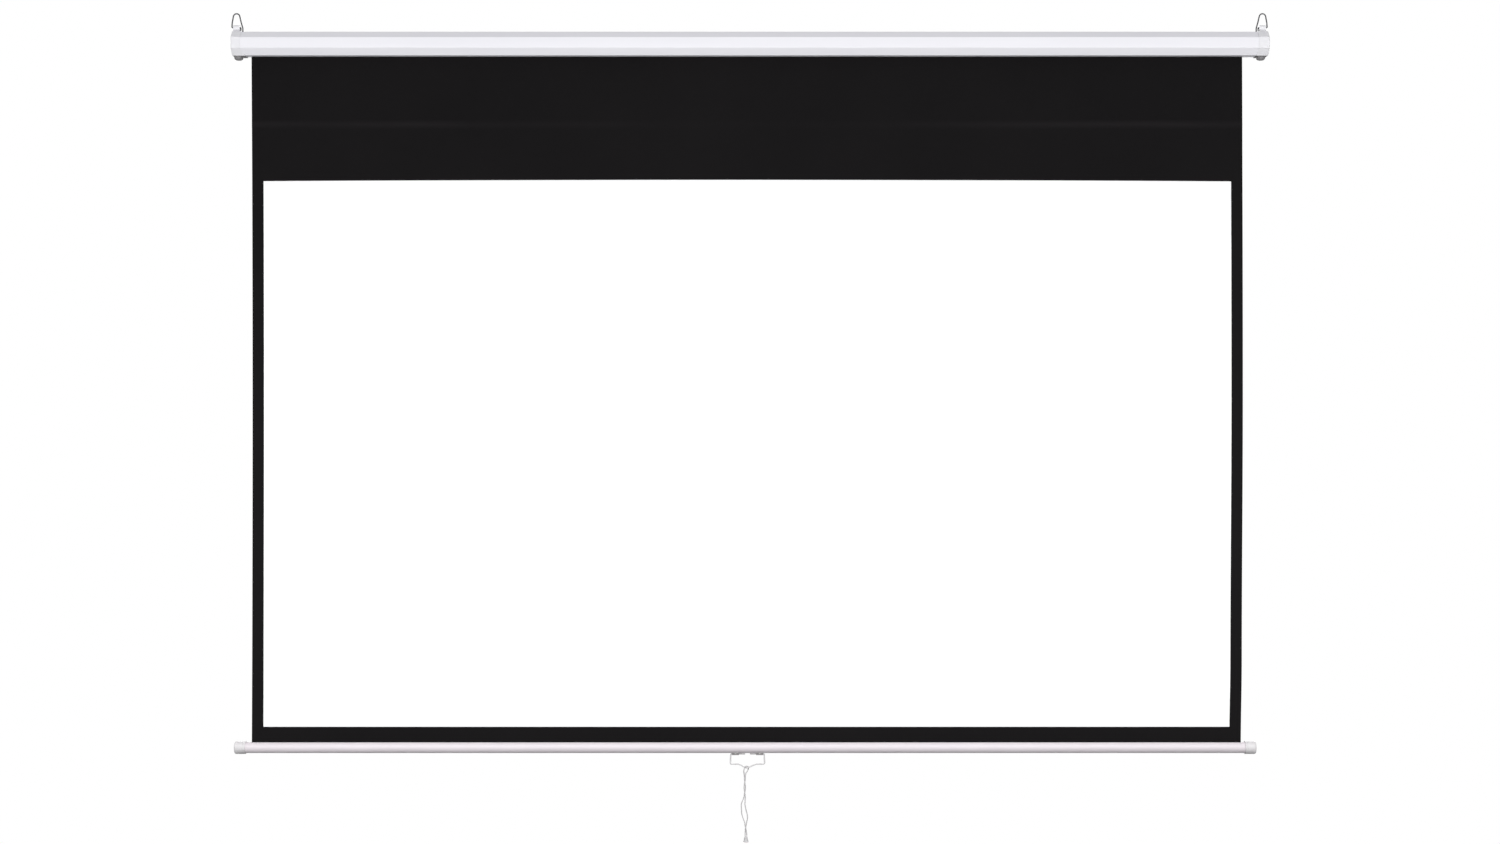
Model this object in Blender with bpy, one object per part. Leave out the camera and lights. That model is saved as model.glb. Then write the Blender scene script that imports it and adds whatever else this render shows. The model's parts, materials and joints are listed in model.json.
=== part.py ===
"""A pull-down projection screen on a spring roller, at rest with its sheet drawn down and locked.

Metres, +Z up, X along the case and Y back to the wall. The origin is the middle of the line through
the insides of the two hangers' tops, where the screen hangs.
"""

import math

import bmesh
import bpy
from mathutils import Matrix, Vector

MM = 0.001

# Clearances
SEAT_GAP = 0.3 * MM
MERGE_DISTANCE = 1e-7

# The sheet: a white picture in a black border, with a long black top
PICTURE_WIDTH = 2214 * MM
PICTURE_HEIGHT = 1250 * MM
SIDE_BORDER = 26.5 * MM
BOTTOM_BORDER = 35 * MM
TOP_DROP = 283.2 * MM
SHEET_THICKNESS = 0.35 * MM
SHEET_OFFSET_X = -5.5 * MM
SHEET_Y = 8.9 * MM

# The case
HANG_DROP = 42 * MM
CASE_MARGIN = 24 * MM
CASE_HEIGHT = 54 * MM
CASE_DEPTH = 60 * MM
CASE_FACET = 15 * MM
CASE_WALL = 1.0 * MM
CASE_BEND = 2.2 * MM
SLOT_WIDTH = 9.6 * MM
SLOT_LIP = 5 * MM
BEND_STEPS = 3

# The end caps: X is measured outwards from the seam between a cap and the case
CAP_LENGTH = {-1: 22 * MM, 1: 25 * MM}
CAP_TONGUE = {-1: 8 * MM, 1: 3 * MM}
CAP_SKIRT = 1.3 * MM
CAP_PLUG_WALL = 2.0 * MM
CAP_OVERLAP = 12 * MM
CAP_PLATE = 3 * MM
CAP_ROUNDING = 3.5 * MM
TONGUE_START = 10 * MM
TONGUE_RISE = 12 * MM
FOOT_RADIUS = 10.5 * MM
FOOT_DROP = 7.7 * MM
FOOT_ROUNDING = 6.4 * MM
FOOT_X = {-1: 9.5 * MM, 1: 10.4 * MM}
EAR_OUT = 14.2 * MM
EAR_WIDTH = 15 * MM
EAR_RADIUS = 5.5 * MM
EAR_FLARE = 3.5 * MM
EAR_HOLE_RISE = 11.5 * MM

# The wire hangers
BAIL_WIRE = 3.0 * MM
BAIL_ARCH = 7.5 * MM
BAIL_ARCH_SHIFT = 0.9 * MM
BAIL_OUTER_LEG = 11.3 * MM
BAIL_WAIST = 9.8 * MM
BAIL_WAIST_RISE = 12 * MM
BAIL_INNER_LEG = 13.8 * MM
BAIL_TAIL_DROP = 8.8 * MM

# The case's and the brackets' screws
CASE_SCREW_X = 3.6 * MM
CASE_SCREW_Y = 10.5 * MM
CASE_SCREW_LENGTH = 5.5 * MM
SCREW_RADIUS = 1.3 * MM
SCREW_HEAD_RADIUS = 2.6 * MM
SCREW_HEAD_HEIGHT = 1.5 * MM
BRACKET_PLATE = 1.5 * MM
BRACKET_WIDTH = 24 * MM
BRACKET_CORNER = 6 * MM
BRACKET_BOSS = 4 * MM
BRACKET_BOSS_RADIUS = 4 * MM
BRACKET_SCREW_EDGE = 10 * MM
BRACKET_SCREW_LENGTH = 4.6 * MM

# The roller
TUBE_RADIUS = 14 * MM
TUBE_WALL = 0.8 * MM
TUBE_SIDES = 32
WRAP_TURNS = 2.25
WRAP_PITCH = 0.6 * MM
WRAP_STEPS = 24
PLUG_FLANGE = 2 * MM
PLUG_LENGTH = 18 * MM
PLUG_CHAMFER = 1.5 * MM
IDLE_PIN_RADIUS = 3 * MM
BUSH_WALL = 2 * MM
BUSH_FLANGE = 1 * MM
BUSH_PLAY = 0.7 * MM

# The spring and its lock
SPINDLE_RADIUS = 3 * MM
BLADE_THICKNESS = 3 * MM
BLADE_HEIGHT = 8 * MM
LOCK_DEPTH = 16 * MM
HEAD_THICKNESS = 4.7 * MM
HEAD_PLAY = 0.6 * MM
PAWL_PLAY = 0.4 * MM
HUB_RADIUS = 6.8 * MM
HUB_THICKNESS = 4.5 * MM
NOTCH_FLOOR = 4.7 * MM
NOTCH = ((HUB_RADIUS, 124.5), (NOTCH_FLOOR, 129.5), (NOTCH_FLOOR, 147), (HUB_RADIUS, 144.4))
PAWL_THICKNESS = 4 * MM
PAWL_PIN_RADIUS = 1.25 * MM
PAWL_PIN_CIRCLE = 11 * MM
PAWL_PIN_ANGLE = 55
PAWL_BOSS = 3.0 * MM
PAWL_INNER = 9.6 * MM
PAWL_OUTER = 12.3 * MM
PAWL_TIP = 7.2 * MM
PAWL_BACK_ANGLES = range(72, 133, 10)
PAWL_NOSE_ANGLE = 134
PAWL_TIP_ANGLES = (133, 130)
PAWL_BELLY_ANGLES = range(118, 74, -10)
SPRING_WIRE = 1.6 * MM
SPRING_RADIUS = 9 * MM
SPRING_PITCH = 7 * MM
SPRING_CURLS = 24
POINTS_PER_CURL = 10
SPRING_BOSS_LENGTH = 18 * MM
SPRING_FLANGE = 4 * MM
SPRING_SPACE = 8 * MM

# The weight bar
BAR_RADIUS = 12.5 * MM
BAR_WALL = 1.6 * MM
BAR_MOUTH = 5 * MM
BAR_MARGIN = 9.8 * MM
BAR_OFFSET_X = -9.8 * MM
BAR_SIDES = 32
BAR_CAP_LENGTH = 25 * MM
BAR_CAP_RADIUS = 14.6 * MM
BAR_CAP_PLATE = 3 * MM
BAR_CAP_COLLAR = 3.2 * MM
BAR_CAP_GROOVE = 0.5 * MM
BAR_CAP_SPIGOT = 10 * MM
BAR_END_GAP = 2 * MM
BAR_CAP_ROUNDING = 4 * MM
HEM_ROD_RADIUS = 3 * MM
HEM_THICKNESS = 0.5 * MM

# The pull handle and its clips
HANDLE_OFFSET_X = -4.6 * MM
HANDLE_ROD = 3.2 * MM
HANDLE_HALF_WIDTH = 38.7 * MM
HANDLE_HEIGHT = 23.4 * MM
HANDLE_DIP = 9.2 * MM
HANDLE_DIP_HALF = 20 * MM
HANDLE_DIP_SHIFT = -2.1 * MM
HANDLE_ROD_END = 6 * MM
HANDLE_CORNER = 2.8 * MM
HANDLE_FLARE = 1.2 * MM
HANDLE_DIP_BEND = 6 * MM
CLIP_LENGTH = 16 * MM
CLIP_WALL = 1.2 * MM
CLIP_FOOT_ANGLE = 38
CLIP_MOUTH_ANGLE = 14
CLIP_SCREW_ANGLE = 27
CLIP_SCREW_RADIUS = 1.0 * MM
CLIP_SCREW_LENGTH = 4.2 * MM

# The pull cord and its bell
CORD_DIAMETER = 2.5 * MM
CORD_STEPS = 77
ROUTE_STEPS = 20
BEND_SPACING = 9 * MM
DENSER = 8
BELL_HEIGHT = 11 * MM
BELL_TOP_RADIUS = 4.25 * MM
BELL_BASE_RADIUS = 6.0 * MM
BELL_WAIST_RADIUS = 5.05 * MM
BELL_SHOULDER_RADIUS = 3.95 * MM
BELL_CROWN_RADIUS = 3.35 * MM
BELL_SHOULDER = 1.2 * MM
BELL_RIM = 1.2 * MM
BELL_RECESS = 3.5 * MM
BELL_DROP = 159 * MM

# The cord's route, in mm from the handle rod's lowest point: across, back and up
CORD_ROUTE = (
    (0.2, 0.0, -158.4),
    (0.1, 0.0, -151.0),
    (-1.2, -1.6, -142.0),
    (-3.3, -1.7, -133.0),
    (-5.0, -0.5, -123.5),
    (-7.8, 0.4, -116.0),
    (-10.7, 0.6, -107.0),
    (-11.6, 0.2, -97.5),
    (-12.0, -0.2, -85.0),
    (-10.2, -0.3, -76.5),
    (-6.6, 0.0, -68.5),
    (-4.8, 1.7, -59.5),
    (-3.0, 1.5, -51.0),
    (-2.4, -0.2, -43.0),
    (-3.7, -1.8, -35.0),
    (-5.4, -1.6, -27.0),
    (-6.0, -1.4, -20.0),
    (-6.6, -2.6, -13.0),
    (-6.6, -4.9, -7.0),
    (-5.6, -5.9, -2.4),
    (-3.7, -4.7, 2.0),
    (0.0, 0.0, 3.7),
    (3.4, 3.9, 1.9),
    (4.3, 5.0, -2.4),
    (2.8, 4.3, -7.0),
    (0.0, 2.6, -13.0),
    (-2.2, 1.5, -20.0),
    (-2.7, 1.6, -27.0),
    (-4.7, 1.8, -35.0),
    (-6.0, 0.2, -43.0),
    (-5.4, -1.5, -51.0),
    (-3.6, -1.7, -59.5),
    (-2.8, 0.0, -68.5),
    (-3.4, 0.3, -76.5),
    (-3.6, 0.2, -85.0),
    (-0.9, -0.2, -97.5),
    (1.6, -0.6, -107.0),
    (1.9, -0.4, -116.0),
    (0.3, 0.5, -123.5),
    (-1.6, 1.7, -133.0),
    (-2.8, 1.6, -142.0),
    (-3.4, 0.0, -151.0),
    (-3.4, 0.0, -158.4),
)

# Heights and places that follow from the sizes above
CASE_Z = -HANG_DROP - CASE_HEIGHT / 2
CASE_TOP = -HANG_DROP
CASE_BOTTOM = CASE_TOP - CASE_HEIGHT
SHEET_WIDTH = PICTURE_WIDTH + 2 * SIDE_BORDER
CASE_SPAN = SHEET_WIDTH + 2 * CASE_MARGIN
BAR_SPAN = SHEET_WIDTH + 2 * BAR_MARGIN
BAR_Z = CASE_BOTTOM - TOP_DROP - PICTURE_HEIGHT - BOTTOM_BORDER - BAR_RADIUS
BRACKET_SCREW_Z = CASE_HEIGHT / 2 - BRACKET_SCREW_EDGE
SEAM_X = CASE_SPAN / 2
EAR_X = SEAM_X + EAR_OUT
CAP_FACE = {side: SEAM_X + CAP_LENGTH[side] for side in (-1, 1)}
PIVOT_Z = CASE_TOP + EAR_HOLE_RISE
WRAP_OUTER = TUBE_RADIUS + SEAT_GAP + SHEET_THICKNESS / 2 + WRAP_TURNS * WRAP_PITCH
ROLLER_Y = SHEET_Y - WRAP_OUTER
HANDLE_PIVOT_Z = BAR_Z - BAR_RADIUS - SEAT_GAP - HANDLE_ROD / 2

# The finishes: colour, roughness and metallic value
WHITE_PAINT = ((0.86, 0.86, 0.87), 0.35, 0.0)
WHITE_PLASTIC = ((0.84, 0.84, 0.85), 0.4, 0.0)
ZINC_WIRE = ((0.45, 0.45, 0.46), 0.35, 1.0)
ZINC_PLATE = ((0.62, 0.62, 0.6), 0.4, 1.0)
STEEL = ((0.55, 0.55, 0.56), 0.3, 1.0)
SPRING_STEEL = ((0.32, 0.32, 0.34), 0.35, 1.0)
GREY_NYLON = ((0.35, 0.36, 0.37), 0.5, 0.0)
ALUMINIUM = ((0.78, 0.78, 0.79), 0.3, 1.0)
BLACK_SHEET = ((0.012, 0.011, 0.012), 0.8, 0.0)
SATIN_WHITE = ((0.82, 0.81, 0.81), 0.35, 0.0)
BAR_PLASTIC = ((0.72, 0.72, 0.73), 0.4, 0.0)
CORD_WHITE = ((0.8, 0.8, 0.79), 0.8, 0.0)


def clear_scene():
    for obj in list(bpy.data.objects):
        bpy.data.objects.remove(obj)


def finish_of(name, finish):
    colour, roughness, metallic = finish
    material = bpy.data.materials.new(name + "_finish")
    material.use_nodes = True
    shader = material.node_tree.nodes["Principled BSDF"]
    shader.inputs["Base Color"].default_value = (*colour, 1.0)
    shader.inputs["Roughness"].default_value = roughness
    shader.inputs["Metallic"].default_value = metallic
    return material


def add_empty(name, place):
    empty = bpy.data.objects.new(name, None)
    empty.location = place
    empty.empty_display_size = 10 * MM
    bpy.context.scene.collection.objects.link(empty)
    return empty


def add_object(name, data, finish, parent, place=(0, 0, 0)):
    obj = bpy.data.objects.new(name, data)
    obj.data.materials.append(finish_of(name, finish))
    obj.parent = parent
    obj.location = place
    bpy.context.scene.collection.objects.link(obj)
    return obj


def mesh_of(name, bm, sharp=30):
    bmesh.ops.recalc_face_normals(bm, faces=bm.faces)
    if bm.calc_volume(signed=True) < 0:
        bmesh.ops.reverse_faces(bm, faces=bm.faces)
    mesh = bpy.data.meshes.new(name)
    bm.to_mesh(mesh)
    bm.free()
    mesh.shade_smooth()
    mesh.set_sharp_from_angle(angle=math.radians(sharp))
    return mesh


def add_solid(name, bm, finish, parent, place=(0, 0, 0)):
    return add_object(name, mesh_of(name, bm), finish, parent, place)


def shape(obj, bm, operation="DIFFERENCE"):
    """Cuts the shape from the object, or joins it on. The shape is in the object's own coordinates."""
    name = f"{obj.name}_{operation.lower()}_{len(obj.modifiers)}"
    helper = bpy.data.objects.new(name, mesh_of(name, bm))
    helper.parent = obj.parent
    helper.location = obj.location
    helper.hide_render = True
    helper.display_type = "WIRE"
    bpy.context.scene.collection.objects.link(helper)
    modifier = obj.modifiers.new(name, "BOOLEAN")
    modifier.operation = operation
    modifier.solver = "EXACT"
    modifier.object = helper


def rounded(corners, radii, steps):
    """The open path with an arc in place of each inner corner, tangent to both its sides."""
    corners = [Vector(c) for c in corners]
    path = [corners[0]]
    for before, corner, after, radius in zip(corners, corners[1:], corners[2:], radii):
        inward = (corner - before).normalized()
        outward = (after - corner).normalized()
        turn = inward.angle(outward)
        bisector = (outward - inward).normalized()
        centre = corner + bisector * radius / math.cos(turn / 2)
        spoke = corner - inward * radius * math.tan(turn / 2) - centre
        for k in range(steps + 1):
            angle = turn * k / steps
            path.append(centre + spoke * math.cos(angle) + inward * radius * math.sin(angle))
    return path + [corners[-1]]


def strip(path, thickness):
    """The closed outline of a strip of even thickness along an open path in a plane."""
    path = [Vector(p) for p in path]
    left = []
    right = []
    runs = [(b - a).normalized() for a, b in zip(path, path[1:])]
    for point, before, after in zip(path, runs[:1] + runs, runs + runs[-1:]):
        along = (before + after).normalized()
        normal = Vector((-along.y, along.x))
        reach = thickness / 2 / normal.dot(Vector((-before.y, before.x)))
        left.append(point + normal * reach)
        right.append(point - normal * reach)
    return left + right[::-1]


def arc(centre, radius, start, stop, steps):
    """Points on an arc, with the angles in degrees."""
    angles = [math.radians(start + (stop - start) * k / steps) for k in range(steps + 1)]
    return [(centre[0] + radius * math.cos(a), centre[1] + radius * math.sin(a)) for a in angles]


def circle(centre, radius, sides):
    return arc(centre, radius, 0, 360, sides)[:-1]


def octagon(offset):
    """The case's section, in the plane across it, moved outwards by the offset."""
    across = CASE_DEPTH / 2 + offset
    up = CASE_HEIGHT / 2 + offset
    facet = CASE_FACET + offset * (2 - math.sqrt(2))
    quarter = [(across, up - facet), (across - facet, up)]
    half = quarter + [(-y, z) for y, z in reversed(quarter)]
    return half + [(-y, -z) for y, z in half]


def prism(outline, start, stop, axis="X"):
    """A solid of the given outline, from start to stop along the axis."""
    order = {"X": (2, 0, 1), "Y": (0, 2, 1), "Z": (0, 1, 2)}[axis]
    bm = bmesh.new()
    rings = []
    for level in (start, stop):
        points = [(p[0], p[1], level) for p in outline]
        rings.append([bm.verts.new([p[k] for k in order]) for p in points])
        bm.faces.new(rings[-1])
    count = len(outline)
    for i in range(count):
        j = (i + 1) % count
        bm.faces.new((rings[0][i], rings[0][j], rings[1][j], rings[1][i]))
    return bm


def box(low, high):
    return prism([(low[0], low[1]), (high[0], low[1]), (high[0], high[1]), (low[0], high[1])],
                 low[2], high[2], "Z")


def turned(profile, sides, axis="X"):
    """A turned solid. The profile's points are (place along the axis, radius), closed unless both
    its ends lie on the axis."""
    bm = bmesh.new()
    verts = [bm.verts.new((along, 0, radius)) for along, radius in profile]
    pairs = list(zip(verts, verts[1:]))
    if profile[0][1] or profile[-1][1]:
        pairs.append((verts[-1], verts[0]))
    edges = [bm.edges.new(pair) for pair in pairs]
    bmesh.ops.spin(bm, geom=verts + edges, cent=(0, 0, 0), axis=(1, 0, 0), angle=2 * math.pi,
                   steps=sides, use_merge=True)
    bmesh.ops.remove_doubles(bm, verts=bm.verts, dist=MERGE_DISTANCE)
    if axis == "Z":
        bm.transform(Matrix.Rotation(math.radians(-90), 4, "Y"))
    return bm


def moved(bm, *shift):
    bm.transform(Matrix.Translation(shift))
    return bm


def on_side(bm, side):
    """The shape as the right-hand end has it, or its mirror image for the left-hand end."""
    bm.transform(Matrix.Scale(side, 4, (1, 0, 0)))
    return bm


def rod_curve(name, points, radius, resolution=2):
    """A curve with a round section, closed by caps."""
    curve = bpy.data.curves.new(name, "CURVE")
    curve.dimensions = "3D"
    curve.bevel_depth = radius
    curve.bevel_resolution = resolution
    curve.use_fill_caps = True
    spline = curve.splines.new("POLY")
    spline.points.add(len(points) - 1)
    for slot, point in zip(spline.points, points):
        slot.co = (*point, 1.0)
    return curve


def screw(length, radius, head_radius, head_height):
    """A pan-head screw along X: its head's seat is at 0 and its shank runs towards -X."""
    dimple = head_radius * 0.45
    profile = [(-length, 0), (-length, radius * 0.6), (-length + radius, radius), (0, radius),
               (0, head_radius), (head_height * 0.55, head_radius), (head_height, head_radius * 0.7),
               (head_height, dimple), (head_height * 0.4, dimple * 0.5), (head_height * 0.4, 0)]
    return turned(profile, 12)


def screw_hole(centre, radius, start, stop, axis="X"):
    """A round cutter with clearance for a shank or pin of the radius."""
    return prism(circle(centre, radius + SEAT_GAP, 12), start, stop, axis)


def case_profile():
    """The roll-formed case: one strip bent to eight sides, whose edges turn in beside the slot."""
    middle = octagon(-CASE_WALL / 2)
    front = SHEET_Y - SLOT_WIDTH / 2 - CASE_WALL / 2
    back = SHEET_Y + SLOT_WIDTH / 2 + CASE_WALL / 2
    low = middle[5][1]
    meeting = low - (middle[6][0] - back)
    corners = [(front, low + SLOT_LIP), (front, low), *middle[5:1:-1], *middle[1::-1], middle[7],
               (back, meeting), (back, low + SLOT_LIP)]
    radii = [CASE_BEND / 2] + [CASE_BEND] * 7 + [0.7 * CASE_WALL]
    return strip(rounded(corners, radii, BEND_STEPS), CASE_WALL)


def build_case(case):
    reach = SEAM_X + CAP_OVERLAP
    profile = add_solid("housing_profile", prism(case_profile(), -reach, reach), WHITE_PAINT, case)
    for side in (-1, 1):
        for y in (-CASE_SCREW_Y, CASE_SCREW_Y):
            shape(profile, screw_hole((side * (SEAM_X + CASE_SCREW_X), y), SCREW_RADIUS,
                                      CASE_HEIGHT / 2 - 3 * CASE_WALL, CASE_HEIGHT / 2 + CASE_WALL, "Z"))


def ear_outline():
    """The hanging ear's section across the case: a round top on a base that flares out."""
    pivot = CASE_HEIGHT / 2 + EAR_HOLE_RISE
    base = CASE_HEIGHT / 2 - 2 * CAP_PLUG_WALL
    skirt = CASE_HEIGHT / 2 + CAP_SKIRT
    flare = arc((EAR_RADIUS + EAR_FLARE, skirt + EAR_FLARE), EAR_FLARE, 270, 180, 4)
    right = [(EAR_RADIUS + EAR_FLARE, base)] + flare
    top = arc((0, pivot), EAR_RADIUS, 0, 180, 12)
    return right + top + [(-y, z) for y, z in reversed(right)]


def build_end_cap(side, name, case):
    """A moulded cap. Its skirt and its plug hold the case's end between them, the lower part of its
    seam sweeps inwards, and it carries the ear, the foot and the bracket's bosses."""
    length = CAP_LENGTH[side]
    tongue = CAP_TONGUE[side]
    groove_end = CAP_OVERLAP + SEAT_GAP
    room = length - CAP_PLATE
    outer = prism(octagon(CAP_SKIRT), -tongue, length)
    rim = [e for e in outer.edges if all(v.co.x > length - MM for v in e.verts)]
    bmesh.ops.bevel(outer, geom=rim, offset=CAP_ROUNDING, segments=3, profile=0.5, affect="EDGES")
    cap = add_solid(name, on_side(outer, side), WHITE_PLASTIC, case, (side * SEAM_X, 0, 0))
    past = tongue + 2 * MM
    shape(cap, on_side(prism(seam_sweep(tongue, past), -CASE_DEPTH, CASE_DEPTH, "Y"), side))

    ear_start = EAR_X - EAR_WIDTH / 2 - SEAM_X
    ear = prism(ear_outline(), ear_start, ear_start + EAR_WIDTH)
    shape(cap, on_side(ear, side), "UNION")
    pin_hole = screw_hole((0, CASE_HEIGHT / 2 + EAR_HOLE_RISE), BAIL_WIRE / 2, ear_start - MM,
                          ear_start + EAR_WIDTH + MM)
    shape(cap, on_side(pin_hole, side))
    shape(cap, on_side(moved(foot_shape(), FOOT_X[side], 0, 0), side), "UNION")

    inner = -CASE_WALL - SEAT_GAP
    shape(cap, on_side(prism(octagon(inner - CAP_PLUG_WALL), -past, room), side))
    shape(cap, on_side(ring_of(octagon(SEAT_GAP), octagon(inner), -past, groove_end), side))
    lip_room = SLOT_WIDTH / 2 + 2 * CASE_WALL
    shape(cap, on_side(box((-past, SHEET_Y - lip_room, -CASE_HEIGHT / 2 + SEAT_GAP),
                           (groove_end + MM, SHEET_Y + lip_room, -CASE_HEIGHT / 2 + 3 * SLOT_LIP)), side))

    for z in (-BRACKET_SCREW_Z, BRACKET_SCREW_Z):
        boss = prism(circle((ROLLER_Y, z), BRACKET_BOSS_RADIUS, 16), room - BRACKET_BOSS,
                     room + CAP_PLATE / 2)
        shape(cap, on_side(boss, side), "UNION")
        shape(cap, on_side(screw_hole((ROLLER_Y, z), SCREW_RADIUS, room - BRACKET_BOSS - MM,
                                      room - BRACKET_BOSS + BRACKET_SCREW_LENGTH), side))
    for y in (-CASE_SCREW_Y, CASE_SCREW_Y):
        shape(cap, on_side(screw_hole((CASE_SCREW_X, y), SCREW_RADIUS, CASE_HEIGHT / 2 - 3 * CAP_PLUG_WALL,
                                      CASE_HEIGHT / 2 + 2 * CAP_SKIRT, "Z"), side))


def foot_shape():
    """The round foot below a cap: the bar's cap stops against it when the sheet is wound up."""
    low = -CASE_HEIGHT / 2 - CAP_SKIRT - FOOT_DROP
    top = -CASE_HEIGHT / 2 - CAP_SKIRT / 2
    dome = arc((low + FOOT_ROUNDING, FOOT_RADIUS - FOOT_ROUNDING), FOOT_ROUNDING, 180, 90, 5)
    return turned([(low, 0)] + dome + [(top, FOOT_RADIUS), (top, 0)], 24, "Z")


def seam_sweep(tongue, past):
    """What the cap's seam leaves free, seen from the front: all above a curve that ends in a tongue."""
    low = -TONGUE_START - TONGUE_RISE
    curve = [(-tongue + tongue * math.sin(a), low + TONGUE_RISE * (1 - math.cos(a)))
             for a in (math.radians(15 * k) for k in range(7))]
    return [(-past, low)] + curve + [(0, CASE_HEIGHT), (-past, CASE_HEIGHT)]


def ring_of(outer, inner, start, stop):
    """A tube between two outlines with as many points, from start to stop along X."""
    bm = bmesh.new()
    rings = [[bm.verts.new((x, *p)) for p in outline] for x in (start, stop) for outline in (outer, inner)]
    count = len(outer)
    for a, b in ((0, 2), (3, 1), (1, 0), (2, 3)):
        for i in range(count):
            j = (i + 1) % count
            bm.faces.new((rings[a][i], rings[a][j], rings[b][j], rings[b][i]))
    return bm


def build_case_screws(case):
    for side, word in ((-1, "left"), (1, "right")):
        for y, place in ((-CASE_SCREW_Y, "front"), (CASE_SCREW_Y, "back")):
            body = screw(CASE_SCREW_LENGTH, SCREW_RADIUS, SCREW_HEAD_RADIUS, SCREW_HEAD_HEIGHT)
            body.transform(Matrix.Rotation(math.radians(-90), 4, "Y"))
            seat = CASE_HEIGHT / 2 + CAP_SKIRT + SEAT_GAP
            add_solid(f"case_screw_{word}_{place}", body, ZINC_PLATE, case,
                      (side * (SEAM_X + CASE_SCREW_X), y, seat))


def bracket_face(side):
    """X of the roller bracket's inner face, outwards from the middle of the case."""
    return CAP_FACE[side] - CAP_PLATE - BRACKET_BOSS - SEAT_GAP - BRACKET_PLATE


def build_bracket(side, word, roller):
    """A stamped plate on the cap's two bosses, with a round hole or a slot for the roller's end."""
    start = bracket_face(side)
    half = BRACKET_WIDTH / 2
    reach = BRACKET_SCREW_Z + BRACKET_BOSS_RADIUS
    corners = [(-half, 0), (-half, -reach), (half, -reach), (half, reach), (-half, reach), (-half, 0.0)]
    outline = rounded(corners, [BRACKET_CORNER] * 4, 4)[:-1]
    plate = add_solid(f"roller_bracket_{word}", on_side(prism(outline, start, start + BRACKET_PLATE), side),
                      ZINC_PLATE, roller)
    for z in (-BRACKET_SCREW_Z, BRACKET_SCREW_Z):
        shape(plate, on_side(screw_hole((0, z), SCREW_RADIUS, start - MM, start + 2 * BRACKET_PLATE), side))
        body = screw(BRACKET_SCREW_LENGTH, SCREW_RADIUS, SCREW_HEAD_RADIUS, SCREW_HEAD_HEIGHT)
        body.transform(Matrix.Rotation(math.pi if side > 0 else 0, 4, "Z"))
        name = f"bracket_screw_{word}_{'upper' if z > 0 else 'lower'}"
        add_solid(name, body, ZINC_PLATE, roller, (side * (start - SEAT_GAP), 0, z))
    if side < 0:
        opening = prism(circle((0, 0), bush_radius() + SEAT_GAP, 24), start - MM,
                        start + 2 * BRACKET_PLATE)
    else:
        flat = BLADE_THICKNESS / 2 + SEAT_GAP
        tall = BLADE_HEIGHT / 2 + SEAT_GAP
        opening = prism([(-flat, -tall), (flat, -tall), (flat, tall), (-flat, tall)], start - MM,
                        start + 2 * BRACKET_PLATE)
    shape(plate, on_side(opening, side))


def bush_radius():
    return IDLE_PIN_RADIUS + SEAT_GAP + BUSH_WALL


def build_idle_end(roller, turning):
    """The left end: a plug in the tube carries a pin, which turns in the bracket's bush."""
    face = bracket_face(-1)
    bore = IDLE_PIN_RADIUS + SEAT_GAP
    inner = face - SEAT_GAP
    outer = face + BRACKET_PLATE + MM
    flange = bush_radius() + 2 * MM
    profile = [(-outer, bore), (-outer, bush_radius()), (-inner, bush_radius()), (-inner, flange),
               (-inner + BUSH_FLANGE, flange), (-inner + BUSH_FLANGE, bore)]
    add_solid("idle_bush", turned(profile, 24), GREY_NYLON, roller)

    plug_face = -tube_end(-1) - PLUG_FLANGE
    body = TUBE_RADIUS - TUBE_WALL - SEAT_GAP
    end = plug_face + PLUG_FLANGE + PLUG_LENGTH
    profile = [(plug_face, bore), (plug_face, TUBE_RADIUS - MM), (plug_face + MM, TUBE_RADIUS),
               (plug_face + PLUG_FLANGE - SEAT_GAP, TUBE_RADIUS), (plug_face + PLUG_FLANGE - SEAT_GAP, body),
               (end - PLUG_CHAMFER, body), (end, body - PLUG_CHAMFER), (end, bore)]
    add_solid("idle_plug", turned(profile, TUBE_SIDES), GREY_NYLON, turning)
    pin_end = -outer - MM
    profile = [(pin_end, 0), (pin_end, IDLE_PIN_RADIUS - MM / 2), (pin_end + MM / 2, IDLE_PIN_RADIUS),
               (end - MM, IDLE_PIN_RADIUS), (end - MM, 0)]
    add_solid("idle_pin", turned(profile, 20), STEEL, turning)


def tube_end(side):
    """X of the roller tube's end, outwards from the middle of the case."""
    if side < 0:
        return bracket_face(-1) - SEAT_GAP - BUSH_FLANGE - BUSH_PLAY - PLUG_FLANGE
    return hub_face() - HEAD_PLAY / 2 - HEAD_THICKNESS - SEAT_GAP


def hub_face():
    """X of the ratchet hub's inner face: the hub sits between the lock head and the spindle's blade."""
    return bracket_face(1) - LOCK_DEPTH


def polar(radius, degrees):
    return (radius * math.cos(math.radians(degrees)), radius * math.sin(math.radians(degrees)))


def hub_outline():
    """The hub's rim, with a notch on opposite sides where a pawl's nose drops in."""
    rim = []
    for turn in (0, 180):
        rim += [polar(HUB_RADIUS, turn + a) for a in range(-30, 125, 10)]
        rim += [polar(radius, turn + angle) for radius, angle in NOTCH]
    return rim


def pawl_outline():
    """A pawl about the roller's axis: a boss round its pin, an arm and a nose."""
    pin = polar(PAWL_PIN_CIRCLE, PAWL_PIN_ANGLE)
    boss = arc(pin, PAWL_BOSS, PAWL_PIN_ANGLE - 190, PAWL_PIN_ANGLE + 10, 12)
    back = [polar(PAWL_OUTER, a) for a in PAWL_BACK_ANGLES]
    nose = [polar(PAWL_OUTER, PAWL_NOSE_ANGLE)] + [polar(PAWL_TIP, a) for a in PAWL_TIP_ANGLES]
    belly = [polar(PAWL_INNER, a) for a in PAWL_BELLY_ANGLES]
    return boss + back + nose + belly


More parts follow.
